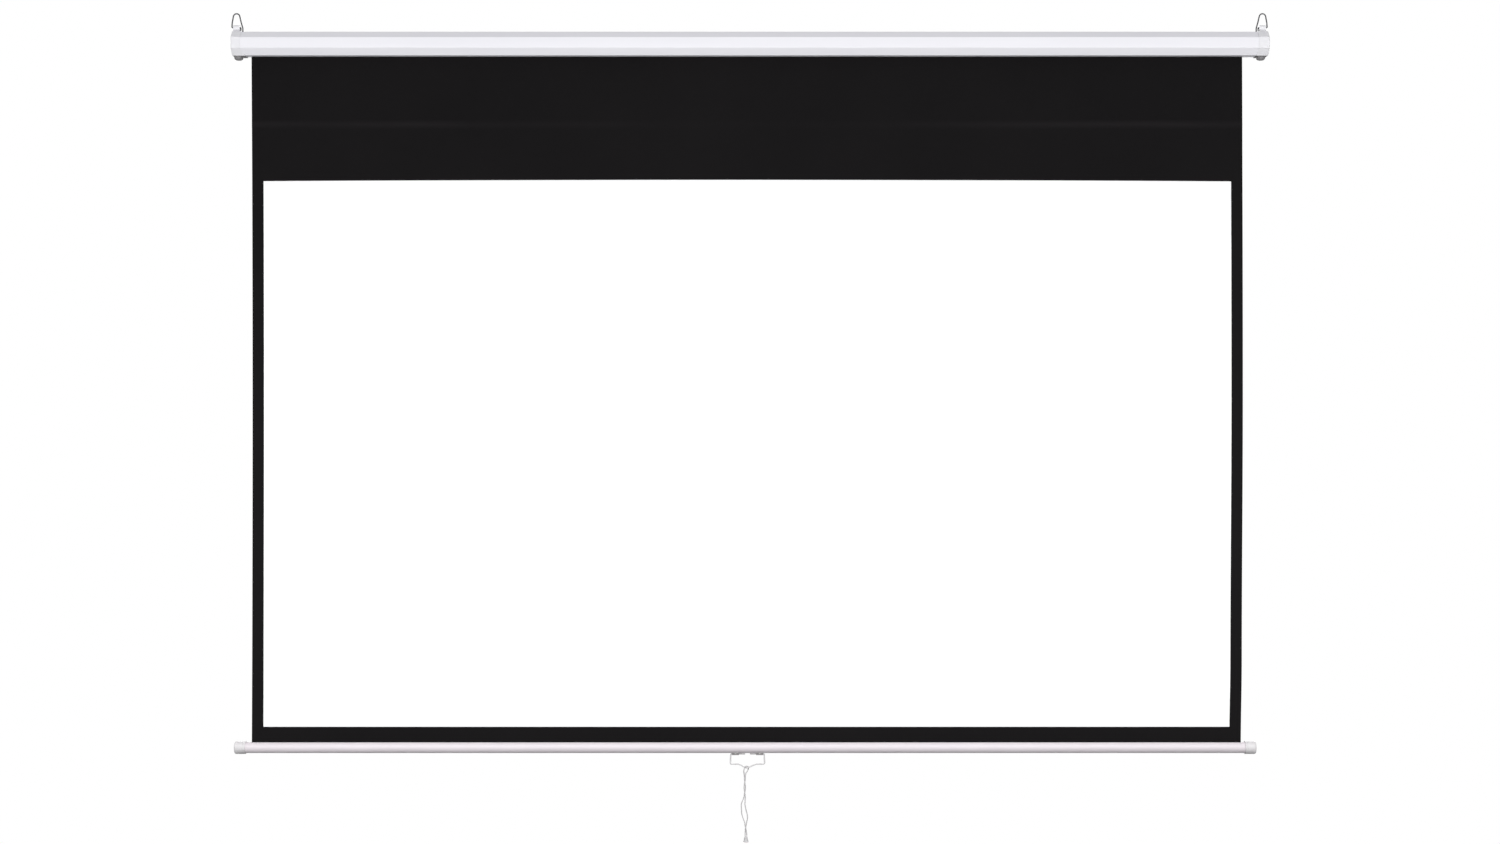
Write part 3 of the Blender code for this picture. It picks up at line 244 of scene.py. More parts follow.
# The darkest and the lightest tone of each finish, and of what lies over some of them.
TONES = {
    "floor_paint": ((0.80, 0.80, 0.80), (0.84, 0.84, 0.84)),
    "white_paint": ((0.790, 0.787, 0.826), (0.826, 0.822, 0.858)),
    "white_plastic": ((0.76, 0.757, 0.785), (0.815, 0.812, 0.835)),
    "cap_plastic": ((0.76, 0.757, 0.785), (0.815, 0.812, 0.835)),
    "bar_plastic": ((0.56, 0.548, 0.556), (0.62, 0.608, 0.616)),
    # Painted shade: the bell's plastic is the white plastic made darker, for the shade on its small
    # curved form.
    "bell_plastic_painted_shade": ((0.50, 0.495, 0.50), (0.56, 0.555, 0.56)),
    # Painted shade: the zinc wire's tones are far darker than bright zinc, standing in for the dark
    # surroundings that it would reflect.
    "zinc_wire": ((0.085, 0.085, 0.09), (0.15, 0.15, 0.155)),
    "zinc_plate": ((0.52, 0.53, 0.54), (0.68, 0.68, 0.66)),
    "steel": ((0.24, 0.23, 0.23), (0.34, 0.33, 0.33)),
    "spring_steel": ((0.24, 0.24, 0.26), (0.36, 0.36, 0.38)),
    "grey_nylon": ((0.29, 0.30, 0.31), (0.38, 0.39, 0.40)),
    "aluminium": ((0.72, 0.72, 0.73), (0.84, 0.84, 0.85)),
    "bar_finish": ((0.615, 0.572, 0.60), (0.65, 0.607, 0.635)),
    "handle_coat": ((0.54, 0.53, 0.535), (0.60, 0.59, 0.595)),
    "picture_white": ((0.858, 0.853, 0.858), (0.878, 0.874, 0.878)),
    "border_black": ((0.0032, 0.0028, 0.0032), (0.0048, 0.0042, 0.0046)),
    "black_fabric": ((0.0032, 0.0028, 0.0032), (0.0048, 0.0042, 0.0046)),
    "cord": ((0.44, 0.43, 0.44), (0.62, 0.61, 0.61)),
}
ROLLING_LINES = (0.74, 0.74, 0.78)
PAINT_DUST = (0.62, 0.61, 0.60)
PLASTIC_DUST = (0.6, 0.59, 0.58)
EMBOSS = (0.82, 0.82, 0.82)
CORD_DIRT = (0.38, 0.36, 0.37)
SPRING_STAIN = (0.20, 0.17, 0.14)
SOAKS_IN = (2 * MM, 2 * MM, 2 * MM)


# Camera, lights and floor

def make_camera():
    """The camera of the photograph, which looks straight ahead."""
    data = bpy.data.cameras.new("camera")
    data.sensor_fit = "HORIZONTAL"
    data.sensor_width = SENSOR_WIDTH
    data.lens = SENSOR_WIDTH * FOCAL_PIXELS / PHOTO_WIDTH
    data.clip_end = VIEW_END
    camera = bpy.data.objects.new("camera", data)
    camera.location = CAMERA_PLACE
    camera.rotation_euler = (math.radians(90), 0, 0)
    bpy.context.scene.collection.objects.link(camera)
    bpy.context.scene.camera = camera


def make_world():
    """White where the camera looks past the object, but the light is an even grey, darker below."""
    world = bpy.data.worlds.new("studio")
    world.use_nodes = True
    bpy.context.scene.world = world
    tree = world.node_tree
    tree.nodes.clear()
    path = tree.nodes.new("ShaderNodeLightPath")
    where = tree.nodes.new("ShaderNodeTexCoord")
    parts = tree.nodes.new("ShaderNodeSeparateXYZ")
    height = tree.nodes.new("ShaderNodeMapRange")
    height.interpolation_type = "SMOOTHSTEP"
    low, high = FILL_FADE
    height.inputs["From Min"].default_value = low
    height.inputs["From Max"].default_value = high
    height.inputs["To Min"].default_value = FILL_BELOW
    fill = tree.nodes.new("ShaderNodeBackground")
    fill.inputs["Color"].default_value = (*FILL_COLOUR, 1)
    tree.links.new(where.outputs["Generated"], parts.inputs[0])
    tree.links.new(parts.outputs["Z"], height.inputs["Value"])
    tree.links.new(height.outputs["Result"], fill.inputs["Strength"])
    seen = tree.nodes.new("ShaderNodeBackground")
    seen.inputs["Color"].default_value = (1, 1, 1, 1)
    mix = tree.nodes.new("ShaderNodeMixShader")
    out = tree.nodes.new("ShaderNodeOutputWorld")
    tree.links.new(path.outputs["Is Camera Ray"], mix.inputs["Fac"])
    tree.links.new(fill.outputs[0], mix.inputs[1])
    tree.links.new(seen.outputs[0], mix.inputs[2])
    tree.links.new(mix.outputs[0], out.inputs[0])


def make_lights():
    """Soft boxes that the camera doesn't see."""
    for name, place, turn, spread, size, power in LIGHTS:
        data = bpy.data.lights.new(name, "AREA")
        data.shape = "RECTANGLE"
        data.size, data.size_y = size
        data.spread = math.radians(spread)
        data.energy = power
        lamp = bpy.data.objects.new(name, data)
        lamp.location = place
        lamp.rotation_euler = [math.radians(a) for a in turn]
        lamp.visible_camera = False
        bpy.context.scene.collection.objects.link(lamp)


def make_floor():
    """A pale round floor under the hanging screen."""
    bm = bmesh.new()
    bmesh.ops.create_circle(bm, cap_ends=True, radius=FLOOR_RADIUS, segments=FLOOR_SIDES)
    bmesh.ops.translate(bm, verts=bm.verts, vec=(0, 0, FLOOR_Z))
    mesh = bpy.data.meshes.new("floor")
    bm.to_mesh(mesh)
    floor = bpy.data.objects.new("floor", mesh)
    bpy.context.scene.collection.objects.link(floor)
    finish = Finish("floor_paint", rough=0.6)
    finish.colour(finish.noise((1.5, 1.5, 1.5), detail=4))
    finish.shader.inputs["Emission Color"].default_value = (1, 1, 1, 1)
    finish.shader.inputs["Emission Strength"].default_value = FLOOR_GLOW
    floor.visible_diffuse = False
    mesh.materials.append(finish.material)


# Materials

class Finish:
    """A material around one Principled shader, with short calls for the nodes that feed it. Its two
    tones come from the table, and all its patterns lie in the piece's own space."""

    def __init__(self, name, rough, metallic=0.0, specular=0.5):
        self.low, self.high = TONES[name]
        self.material = bpy.data.materials.new(name)
        self.material.use_nodes = True
        self.tree = self.material.node_tree
        self.shader = next(n for n in self.tree.nodes if n.type == "BSDF_PRINCIPLED")
        self.shader.inputs["Roughness"].default_value = rough
        self.shader.inputs["Metallic"].default_value = metallic
        self.shader.inputs["Specular IOR Level"].default_value = specular
        self.where = self.add("ShaderNodeTexCoord").outputs["Object"]
        self.normal = None

    def add(self, kind, **values):
        node = self.tree.nodes.new(kind)
        for key, value in values.items():
            setattr(node, key, value)
        return node

    def join(self, source, target):
        """Links a node's output to a socket, or gives the socket a plain value."""
        if hasattr(source, "is_output"):
            self.tree.links.new(source, target)
        else:
            target.default_value = source

    def stretched(self, scale, turn=(0, 0, 0)):
        """The piece's own space, scaled and turned for a pattern."""
        node = self.add("ShaderNodeMapping")
        node.inputs["Scale"].default_value = scale
        node.inputs["Rotation"].default_value = [math.radians(a) for a in turn]
        self.join(self.where, node.inputs["Vector"])
        return node.outputs[0]

    def noise(self, scale, detail, rough=0.5):
        """A cloudy pattern, with its scale per metre along X, Y and Z."""
        node = self.add("ShaderNodeTexNoise")
        node.inputs["Scale"].default_value = 1
        node.inputs["Detail"].default_value = detail
        node.inputs["Roughness"].default_value = rough
        self.join(self.stretched(scale), node.inputs["Vector"])
        return node.outputs[0]

    def cells(self, scale):
        node = self.add("ShaderNodeTexVoronoi")
        node.inputs["Scale"].default_value = 1
        self.join(self.stretched(scale), node.inputs["Vector"])
        return node

    def weave(self):
        """The sheet's crossed threads in its plane, as a height from 0 to 1."""
        heights = []
        for turn in ((0, 0, 0), (0, 90, 0)):
            node = self.add("ShaderNodeTexWave", bands_direction="X", wave_profile="SIN")
            node.inputs["Scale"].default_value = 1
            node.inputs["Distortion"].default_value = UNEVEN
            step = WAVE_PERIOD / THREAD
            self.join(self.stretched((step, step, step), turn), node.inputs["Vector"])
            heights.append(node.outputs["Fac"])
        return self.maths("MAXIMUM", *heights)

    def maths(self, what, a, b=0.0):
        node = self.add("ShaderNodeMath", operation=what)
        for value, socket in zip((a, b), node.inputs):
            self.join(value, socket)
        return node.outputs[0]

    def spread(self, value, low, high, start=0.3, stop=0.7):
        """Runs from low to high as the value runs from start to stop."""
        node = self.add("ShaderNodeMapRange")
        node.inputs["From Min"].default_value = start
        node.inputs["From Max"].default_value = stop
        node.inputs["To Min"].default_value = low
        node.inputs["To Max"].default_value = high
        self.join(value, node.inputs["Value"])
        return node.outputs[0]

    def along(self, axis):
        """A point's place along X, Y or Z."""
        parts = self.add("ShaderNodeSeparateXYZ")
        self.join(self.where, parts.inputs[0])
        return parts.outputs[axis]

    def colour(self, value, start=0.3, stop=0.7):
        """Runs from the dark tone to the light one as the value runs from start to stop."""
        node = self.add("ShaderNodeValToRGB")
        ends = node.color_ramp.elements
        for end, place, tone in zip(ends, (start, stop), (self.low, self.high)):
            end.position = place
            end.color = (*tone, 1)
        self.join(value, node.inputs["Fac"])
        self.base = node.outputs[0]
        self.join(self.base, self.shader.inputs["Base Color"])

    def over(self, share, colour):
        """Lays another colour over the base where the share is high."""
        node = self.add("ShaderNodeMix", data_type="RGBA")
        self.join(share, node.inputs[0])
        self.join(self.base, node.inputs[6])
        self.join((*colour, 1), node.inputs[7])
        self.base = node.outputs[2]
        self.join(self.base, self.shader.inputs["Base Color"])

    def rough(self, value, low, high):
        """Runs the roughness from low to high with the value."""
        self.join(self.spread(value, low, high), self.shader.inputs["Roughness"])

    def bump(self, height, distance):
        """Adds a bump to those before it."""
        node = self.add("ShaderNodeBump")
        node.inputs["Distance"].default_value = distance
        self.join(height, node.inputs["Height"])
        if self.normal:
            self.join(self.normal, node.inputs["Normal"])
        self.normal = node.outputs[0]
        self.join(self.normal, self.shader.inputs["Normal"])

    def dust(self, scale, most, colour):
        """Dust in patches, on the faces that look up."""
        parts = self.add("ShaderNodeSeparateXYZ")
        self.join(self.add("ShaderNodeNewGeometry").outputs["Normal"], parts.inputs[0])
        facing_up = self.spread(parts.outputs["Z"], 0, 1, 0.75, 1)
        patches = self.spread(self.noise(scale, detail=6), 0, most)
        self.over(self.maths("MULTIPLY", facing_up, patches), colour)

    def soak(self, share):
        """Lets some of the light a little way in."""
        self.shader.inputs["Subsurface Weight"].default_value = share
        self.shader.inputs["Subsurface Radius"].default_value = SOAKS_IN


def shaded(colour, share):
    """A colour made darker or lighter by a factor."""
    return tuple(share * c for c in colour)


def white_paint():
    """Smooth paint on roll-formed steel: fine orange peel, long faint rolling lines, some dust."""
    paint = Finish("white_paint", rough=0.36, specular=0.4)
    peel = paint.noise((420, 420, 420), detail=3)
    lines = paint.noise((1.2, 260, 260), detail=3)
    paint.colour(paint.noise((2.2, 30, 30), detail=4))
    paint.over(paint.spread(lines, 0, 0.12, 0.55, 0.8), ROLLING_LINES)
    paint.dust((25, 60, 60), most=0.35, colour=PAINT_DUST)
    paint.rough(paint.noise((9, 90, 90), detail=5), 0.30, 0.44)
    paint.bump(peel, 0.03 * MM)
    paint.bump(lines, 0.02 * MM)
    return paint.material


def moulded(name, foot_shade=False):
    """Moulded plastic: a spark-eroded grain, flow marks and a little dust. On the caps, the lowest
    part of a foot is painted grey: painted shade for its underside."""
    plastic = Finish(name, rough=0.42, specular=0.42)
    grain = plastic.noise((1600, 1600, 1600), detail=2)
    flow = plastic.noise((55, 120, 90), detail=5, rough=0.6)
    plastic.colour(flow)
    plastic.dust((140, 140, 140), most=0.4, colour=PLASTIC_DUST)
    if foot_shade:
        # Painted shade: grey over the lowest part of each foot, where its underside lies in shade.
        below = plastic.spread(plastic.along("Z"), 1, 0, FOOT_SHADE_TOP - FOOT_SHADE_EDGE, FOOT_SHADE_TOP)
        plastic.over(below, FOOT_SHADE_TONE)
    plastic.rough(grain, 0.36, 0.52)
    plastic.bump(flow, 0.04 * MM)
    plastic.bump(grain, 0.015 * MM)
    plastic.soak(0.04)
    return plastic.material


def metal(name, rough, streaks, stain=None):
    """Bare or plated metal: drawn streaks, small pits and a cloudy sheen."""
    finish = Finish(name, rough, metallic=1.0)
    lines = finish.noise(streaks, detail=4, rough=0.6)
    cloud = finish.noise((90, 90, 90), detail=5, rough=0.6)
    finish.colour(finish.maths("ADD", finish.maths("MULTIPLY", lines, 0.5),
                               finish.maths("MULTIPLY", cloud, 0.5)), 0.35, 0.65)
    if stain:
        stained = finish.noise((30, 300, 300), detail=6)
        finish.over(finish.spread(stained, 0, 0.3, 0.55, 0.75), stain)
    finish.rough(cloud, rough - 0.07, rough + 0.1)
    finish.bump(lines, 0.02 * MM)
    finish.bump(finish.noise((2400, 2400, 2400), detail=2), 0.012 * MM)
    return finish.material


def zinc_plate():
    """Zinc-plated sheet steel, with the plating's faint crystals."""
    finish = Finish("zinc_plate", rough=0.38, metallic=1.0)
    crystals = finish.cells((260, 260, 260))
    tone = finish.add("ShaderNodeSeparateColor")
    finish.join(crystals.outputs["Color"], tone.inputs[0])
    finish.colour(tone.outputs[0], 0.1, 0.9)
    finish.rough(tone.outputs[1], 0.30, 0.46)
    finish.bump(finish.noise((900, 900, 900), detail=4), 0.02 * MM)
    return finish.material


def nylon():
    """Plain grey nylon, for the small parts inside."""
    finish = Finish("grey_nylon", rough=0.5, specular=0.4)
    flow = finish.noise((160, 160, 160), detail=5, rough=0.6)
    finish.colour(flow)
    finish.rough(flow, 0.44, 0.6)
    finish.bump(finish.noise((1800, 1800, 1800), detail=2), 0.02 * MM)
    finish.soak(0.06)
    return finish.material


def coated(name, rough, streaks):
    """A satin coat over drawn or extruded metal, whose lines still show through."""
    finish = Finish(name, rough, specular=0.45)
    lines = finish.noise(streaks, detail=4, rough=0.55)
    cloud = finish.noise((14, 60, 60), detail=5, rough=0.6)
    finish.colour(cloud)
    finish.over(finish.spread(lines, 0, 0.14, 0.5, 0.8), shaded(finish.low, 0.88))
    finish.rough(cloud, rough - 0.06, rough + 0.1)
    finish.bump(lines, 0.025 * MM)
    finish.bump(finish.noise((700, 700, 700), detail=3), 0.02 * MM)
    return finish.material


def cloth_white():
    """The matte projection surface: a fine emboss over the sheet's glass-fibre threads."""
    cloth = Finish("picture_white", rough=0.85, specular=0.2)
    threads = cloth.weave()
    grain = cloth.noise((1500, 1500, 1500), detail=3)
    cloth.colour(cloth.noise((1.1, 1.1, 1.1), detail=5))
    cloth.over(cloth.spread(grain, 0, 0.05), EMBOSS)
    cloth.rough(grain, 0.8, 0.92)
    cloth.bump(threads, 0.03 * MM)
    cloth.bump(grain, 0.03 * MM)
    return cloth.material


def cloth_black(name):
    """The black border and back: matte, with the threads showing a little more than on the white.
    Along the crease across the black top lies a painted highlight, most near its ends."""
    cloth = Finish(name, rough=0.8, specular=0.09)
    threads = cloth.weave()
    grain = cloth.noise((1200, 1200, 1200), detail=3)
    cloth.colour(cloth.noise((3, 3, 3), detail=6, rough=0.6))
    cloth.over(cloth.spread(grain, 0, 0.3), shaded(cloth.high, 1.5))
    # Painted highlight: a lighter tone along the crease, strongest towards the sheet's ends and in
    # patches.
    off = cloth.maths("ABSOLUTE", cloth.maths("SUBTRACT", cloth.along("Z"), CREASE_Z))
    crease_highlight = cloth.spread(off, 1, 0, 0.1 * CREASE_HALF, CREASE_HALF)
    ends = cloth.spread(cloth.maths("ABSOLUTE", cloth.along("X")), 0.15, 1, 0.2, 0.9)
    patches = cloth.spread(cloth.noise((2.2, 2.2, 9), detail=4), 0.3, 1)
    for share in (ends, patches):
        crease_highlight = cloth.maths("MULTIPLY", crease_highlight, share)
    cloth.over(crease_highlight, shaded(cloth.high, 2.5))
    cloth.rough(grain, 0.68, 0.9)
    cloth.bump(threads, 0.05 * MM)
    cloth.bump(grain, 0.03 * MM)
    cloth.shader.inputs["Sheen Weight"].default_value = 0.03
    cloth.shader.inputs["Sheen Roughness"].default_value = 0.5
    return cloth.material


def cord_yarn():
    """Twisted polyester yarn: fine fibres, and a little grey in cloudy patches."""
    yarn = Finish("cord", rough=0.75, specular=0.25)
    fibres = yarn.noise((2600, 2600, 900), detail=3, rough=0.6)
    yarn.colour(fibres)
    yarn.over(yarn.spread(yarn.noise((60, 60, 60), detail=5), 0, 0.3), CORD_DIRT)
    yarn.rough(fibres, 0.66, 0.9)
    yarn.bump(fibres, 0.05 * MM)
    yarn.shader.inputs["Sheen Weight"].default_value = 0.25
    return yarn.material


def make_finishes():
    """One material for each of the record's slots, made once."""
    return {
        "white_paint": white_paint(),
        "white_plastic": moulded("white_plastic"),
        # The zinc wire's dark tones are painted shade.
        "zinc_wire": metal("zinc_wire", rough=0.40, streaks=(300, 300, 60)),
        "zinc_plate": zinc_plate(),
        "steel": metal("steel", rough=0.36, streaks=(30, 700, 700)),
        "spring_steel": metal("spring_steel", rough=0.34, streaks=(500, 500, 500),
                              stain=SPRING_STAIN),
        "grey_nylon": nylon(),
        "aluminium": metal("aluminium", rough=0.32, streaks=(6, 900, 900)),
        "bar_finish": coated("bar_finish", rough=0.40, streaks=(3, 600, 600)),
        "handle_coat": coated("handle_coat", rough=0.38, streaks=(260, 260, 260)),
        "bar_plastic": moulded("bar_plastic"),
        "screen_fabric": cloth_white(),
        "black_fabric": cloth_black("black_fabric"),
        "cord": cord_yarn(),
    }


# Shapes

def skin(rings):
    """A mesh that joins rings of equal length with quads, closed at both ends."""
    bm = bmesh.new()
    rows = [[bm.verts.new(p) for p in ring] for ring in rings]
    count = len(rows[0])
    for a, b in zip(rows, rows[1:]):
        for i in range(count):
            bm.faces.new((a[i], a[(i + 1) % count], b[(i + 1) % count], b[i]))
    bm.faces.new(list(reversed(rows[0])))
    bm.faces.new(rows[-1])
    return bm


def piece(name, bm, body, slot, replaces=(), sharp=32, finish=None):
    """A smooth piece with sharp edges, which rides on a body and may stand in for nodes."""
    bmesh.ops.remove_doubles(bm, verts=bm.verts, dist=WELD_PIECES)
    bmesh.ops.recalc_face_normals(bm, faces=bm.faces)
    for face in bm.faces:
        face.smooth = True
    for edge in bm.edges:
        edge.smooth = edge.is_manifold and edge.calc_face_angle(0) < math.radians(sharp)
    mesh = bpy.data.meshes.new(name)
    bm.to_mesh(mesh)
    bm.free()
    obj = bpy.data.objects.new(name, mesh)
    bpy.context.scene.collection.objects.link(obj)
    mesh.materials.append(finish or finishes[slot])
    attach(obj, body)
    if replaces:
        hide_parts(*replaces)
    return obj


def tube_rings(points, radius, sides, relief=None):
    """Rings along a line, each turned the least from the last, with rounded-off ends."""
    points = [Vector(p) for p in points]
    heading = (points[1] - points[0]).normalized()
    across = heading.orthogonal().normalized()
    rings = []
    along = 0.0
    for i, point in enumerate(points):
        ahead = points[min(i + 1, len(points) - 1)] - points[max(i - 1, 0)]
        turn = heading.rotation_difference(ahead.normalized())
        across.rotate(turn)
        heading = ahead.normalized()
        up = heading.cross(across)
        if i:
            along += (point - points[i - 1]).length
        ring = []
        for k in range(sides):
            angle = 2 * math.pi * k / sides
            reach = radius + (relief(angle, along) if relief else 0)
            ring.append(point + reach * (math.cos(angle) * across + math.sin(angle) * up))
        rings.append(ring)
    for _ in range(2):
        rings.reverse()
        points.reverse()
        rings += round_end(rings[-1], points[-1], points[-1] - points[-2], radius)
    return rings


def round_end(base, centre, ahead, radius):
    """The smaller rings past the end of a tube, over a third of its radius."""
    out = ahead.normalized() * radius / 3
    rings = []
    for k in range(1, END_STEPS + 1):
        angle = math.pi / 2 * k / (END_STEPS + 0.4)
        share = 0.6 + 0.4 * math.cos(angle)
        rings.append([centre + out * math.sin(angle) + (p - centre) * share for p in base])
    return rings


def rounded(corners, radii, steps):
    """A line through the corners with each inner one rounded to its radius."""
    corners = [Vector(c) for c in corners]
    line = [corners[0]]
    for a, b, c, radius in zip(corners, corners[1:], corners[2:], radii):
        first = (a - b).normalized()
        second = (c - b).normalized()
        half = first.angle(second) / 2
        back = radius / math.tan(half)
        centre = b + (first + second).normalized() * radius / math.sin(half)
        start = b + first * back - centre
        stop = b + second * back - centre
        whole = start.angle(stop)
        for k in range(steps + 1):
            share = k / steps
            point = start * math.sin((1 - share) * whole) + stop * math.sin(share * whole)
            line.append(centre + point / math.sin(whole))
    line.append(corners[-1])
    return line


def refined(points, spacing):
    """The same line with points no further apart than the spacing."""
    line = [Vector(points[0])]
    for a, b in zip(points, points[1:]):
        count = max(1, math.ceil((b - a).length / spacing))
        line.extend(a.lerp(b, k / count) for k in range(1, count + 1))
    return line


def circle(radius, sides, z):
    """A ring round the Z axis."""
    angles = [2 * math.pi * k / sides for k in range(sides)]
    return [Vector((radius * math.cos(a), radius * math.sin(a), z)) for a in angles]


# The pull: cord, bell and handle

def smooth_route():
    """The cord's route as a smooth curve through its points, with both ends let into the bell."""
    route = [Vector(p) * MM for p in CORD_ROUTE]
    ends = [2 * route[0] - route[1]] + route + [2 * route[-1] - route[-2]]
    fine = []
    for a, b, c, d in zip(ends, ends[1:], ends[2:], ends[3:]):
        for k in range(ROUTE_STEPS):
            t = k / ROUTE_STEPS
            fine.append((2 * b + (c - a) * t + (2 * a - 5 * b + 4 * c - d) * t ** 2
                         + (3 * b - a - 3 * c + d) * t ** 3) / 2)
    fine.append(route[-1])
    into = Vector((0, 0, -LET_IN))
    return [fine[0] + into] + fine + [fine[-1] + into]


def cord_line():
    """The cord's centreline in even steps, and its length."""
    fine = smooth_route()
    runs = [0.0]
    for a, b in zip(fine, fine[1:]):
        runs.append(runs[-1] + (b - a).length)
    count = round(runs[-1] / CORD_STEP)
    line = []
    k = 0
    for n in range(count + 1):
        wanted = runs[-1] * n / count
        while k + 2 < len(runs) and runs[k + 1] < wanted:
            k += 1
        line.append(fine[k].lerp(fine[k + 1], (wanted - runs[k]) / (runs[k + 1] - runs[k])))
    return [p + Vector(CORD_PLACE) for p in line], runs[-1]


def braid(angle, along):
    """The relief of a braided cord: two sets of strands that cross."""
    lay = 2 * math.pi * along / BRAID_LAY
    turn = STRANDS * angle
    return BRAID_DEPTH * (max(math.cos(turn + lay), math.cos(turn - lay)) - 1)


def make_cord():
    """The pull cord with the bell and the knot on its end."""
    line, length = cord_line()
    rings = tube_rings(line, CORD_DIAMETER / 2, sides=36, relief=braid)
    cord = piece("braided_cord", skin(rings), "pull_cord_body", "cord", ["pull_cord"], sharp=80)
    bell = make_bell()
    knot = make_knot()


def make_bell():
    """The bell on the cord's end: a beaded crown, a waisted skirt, and a hollow underneath."""
    foot = BELL_TOP - BELL_HEIGHT
    profile = [(BELL_TOP - down * MM, radius * MM) for down, radius in BELL_CROWN]
    down, waist = BELL_CROWN[-1]
    for k in range(1, SKIRT_STEPS):
        share = k / SKIRT_STEPS
        radius = waist + BELL_FLARE * share ** 1.7
        profile.append((BELL_TOP - (down + BELL_SKIRT * share) * MM, radius * MM))
    profile += [(foot + up * MM, radius * MM) for up, radius in BELL_RIM]
    place = Vector(CORD_PLACE) + Vector((BELL_X, 0, 0))
    rings = [[p + place for p in circle(radius, BELL_SIDES, z)] for z, radius in profile]
    # The bell's darker copy of the white plastic is painted shade.
    return piece("bell", skin(rings), "pull_cord_body", "white_plastic", ["cord_bell"],
                 finish=moulded("bell_plastic_painted_shade"))


def make_knot():
    """The knot that keeps the bell on the cord, up in the bell's hollow."""
    centre = Vector(CORD_PLACE) + Vector((BELL_X, 0, BELL_TOP - BELL_HEIGHT + KNOT_RISE))
    points = []
    for k in range(KNOT_POINTS):
        turn = 2 * math.pi * k / KNOT_POINTS
        reach = KNOT_REACH + KNOT_SWING * math.cos(3 * turn)
        points.append(centre + Vector((reach * math.cos(2 * turn), reach * math.sin(2 * turn),
                                       KNOT_LIFT * math.sin(3 * turn))))
    rings = tube_rings(points, KNOT_STRAND, sides=12)
    return piece("cord_knot", skin(rings), "pull_cord_body", "cord", sharp=80)


def make_handle():
    """The wire handle: a wide flat loop whose lower run dips to where the cord hangs."""
    right = [(HANDLE_END, 0, 0), (HANDLE_HALF - HANDLE_FLARE, 0, 0),
             (HANDLE_HALF + HANDLE_FLARE, 0, -HANDLE_HEIGHT), (DIP_HALF, 0, -HANDLE_HEIGHT)]
    left = [(-x, y, z) for x, y, z in reversed(right)]
    corners = right + [(DIP_SHIFT, 0, -HANDLE_HEIGHT - DIP)] + left
    radii = [HANDLE_CORNER] * 2 + [DIP_BEND] * 3 + [HANDLE_CORNER] * 2
    line = [p + Vector(HANDLE_PLACE) for p in rounded(corners, radii, steps=10)]
    rings = tube_rings(refined(line, spacing=4 * MM), HANDLE_ROD / 2, sides=24)
    piece("handle_wire", skin(rings), "pull_handle_body", "handle_coat", ["pull_handle"], sharp=50)


def make_bails():
    """The two wire hangers, each with its legs in an end cap's ear."""
    for side, word in ((-1, "left"), (1, "right")):
        corners = [(side * x * MM, 0, z * MM) for x, z in BAIL_ROUTE]
        place = Vector((side * EAR_X, 0, PIVOT_Z))
        line = [p + place for p in rounded(corners, [r * MM for r in BAIL_BENDS], steps=9)]
        rings = tube_rings(refined(line, spacing=3 * MM), BAIL_WIRE / 2, sides=20)
        piece(f"bail_{word}", skin(rings), f"hanger_{word}", "zinc_wire", [f"hanger_bail_{word}"],
              sharp=50)


# The sheet, its turns on the roller and its hem

def eased(value, start, stop):
    """Runs smoothly from 0 to 1 as the value runs from start to stop."""
    t = min(1, max(0, (value - start) / (stop - start)))
    return t * t * (3 - 2 * t)


def sheet_point(u, z):
    """A point of the hanging sheet: u runs from -1 to 1 across it. The sheet waves a little, its
    edges curl back, and it bows sideways by a few mm, as it does between its roller and its bar."""
    free = eased(-z, *FREE_OF_ROLLER) * eased(z, *FREE_OF_BAR)
    drop = (SHEET_TOP - z) / (SHEET_TOP - SHEET_BOTTOM)
    x = u * SHEET_WIDTH / 2
    wave = WAVE * math.sin(7.3 * x + 1.7 * math.sin(2.1 * z) + 0.4)
    wave += CROSS_WAVE * math.sin(3.1 * x - 2.6 * z)
    curl = CURL * max(0, (abs(u) - CURL_FROM) / (1 - CURL_FROM)) ** 2
    near = max(0, 1 - ((z - CREASE_Z) / CREASE_HALF) ** 2)
    crease = CREASE * (CREASE_MIDDLE + (1 - CREASE_MIDDLE) * abs(u)) * near
    bow = BOW * math.sin(math.pi * drop) - BOW_BACK * (1 - drop) ** 4
    drawn = (1 + u) / 2 * sum(much * eased(drop, start, stop) for much, start, stop in DRAWN)
    rise = ARCH - ARCH_FALL * u * u - ARCH_LEAN * max(0, u)
    lift = rise * MM * eased(-z, *ARCH_RISES) * eased(z, *ARCH_FADES)
    return Vector((SHEET_MIDDLE + u * (SHEET_WIDTH / 2 + EDGE_OUT) + (bow - drawn) * MM,
                   SHEET_Y + ((wave + curl) * free - crease) * MM, z + lift))


def rows_between(start, stop, spacing):
    """Even steps from start to stop, about the spacing apart."""
    count = max(1, round(abs(stop - start) / spacing))
    return [start + (stop - start) * k / count for k in range(count + 1)]


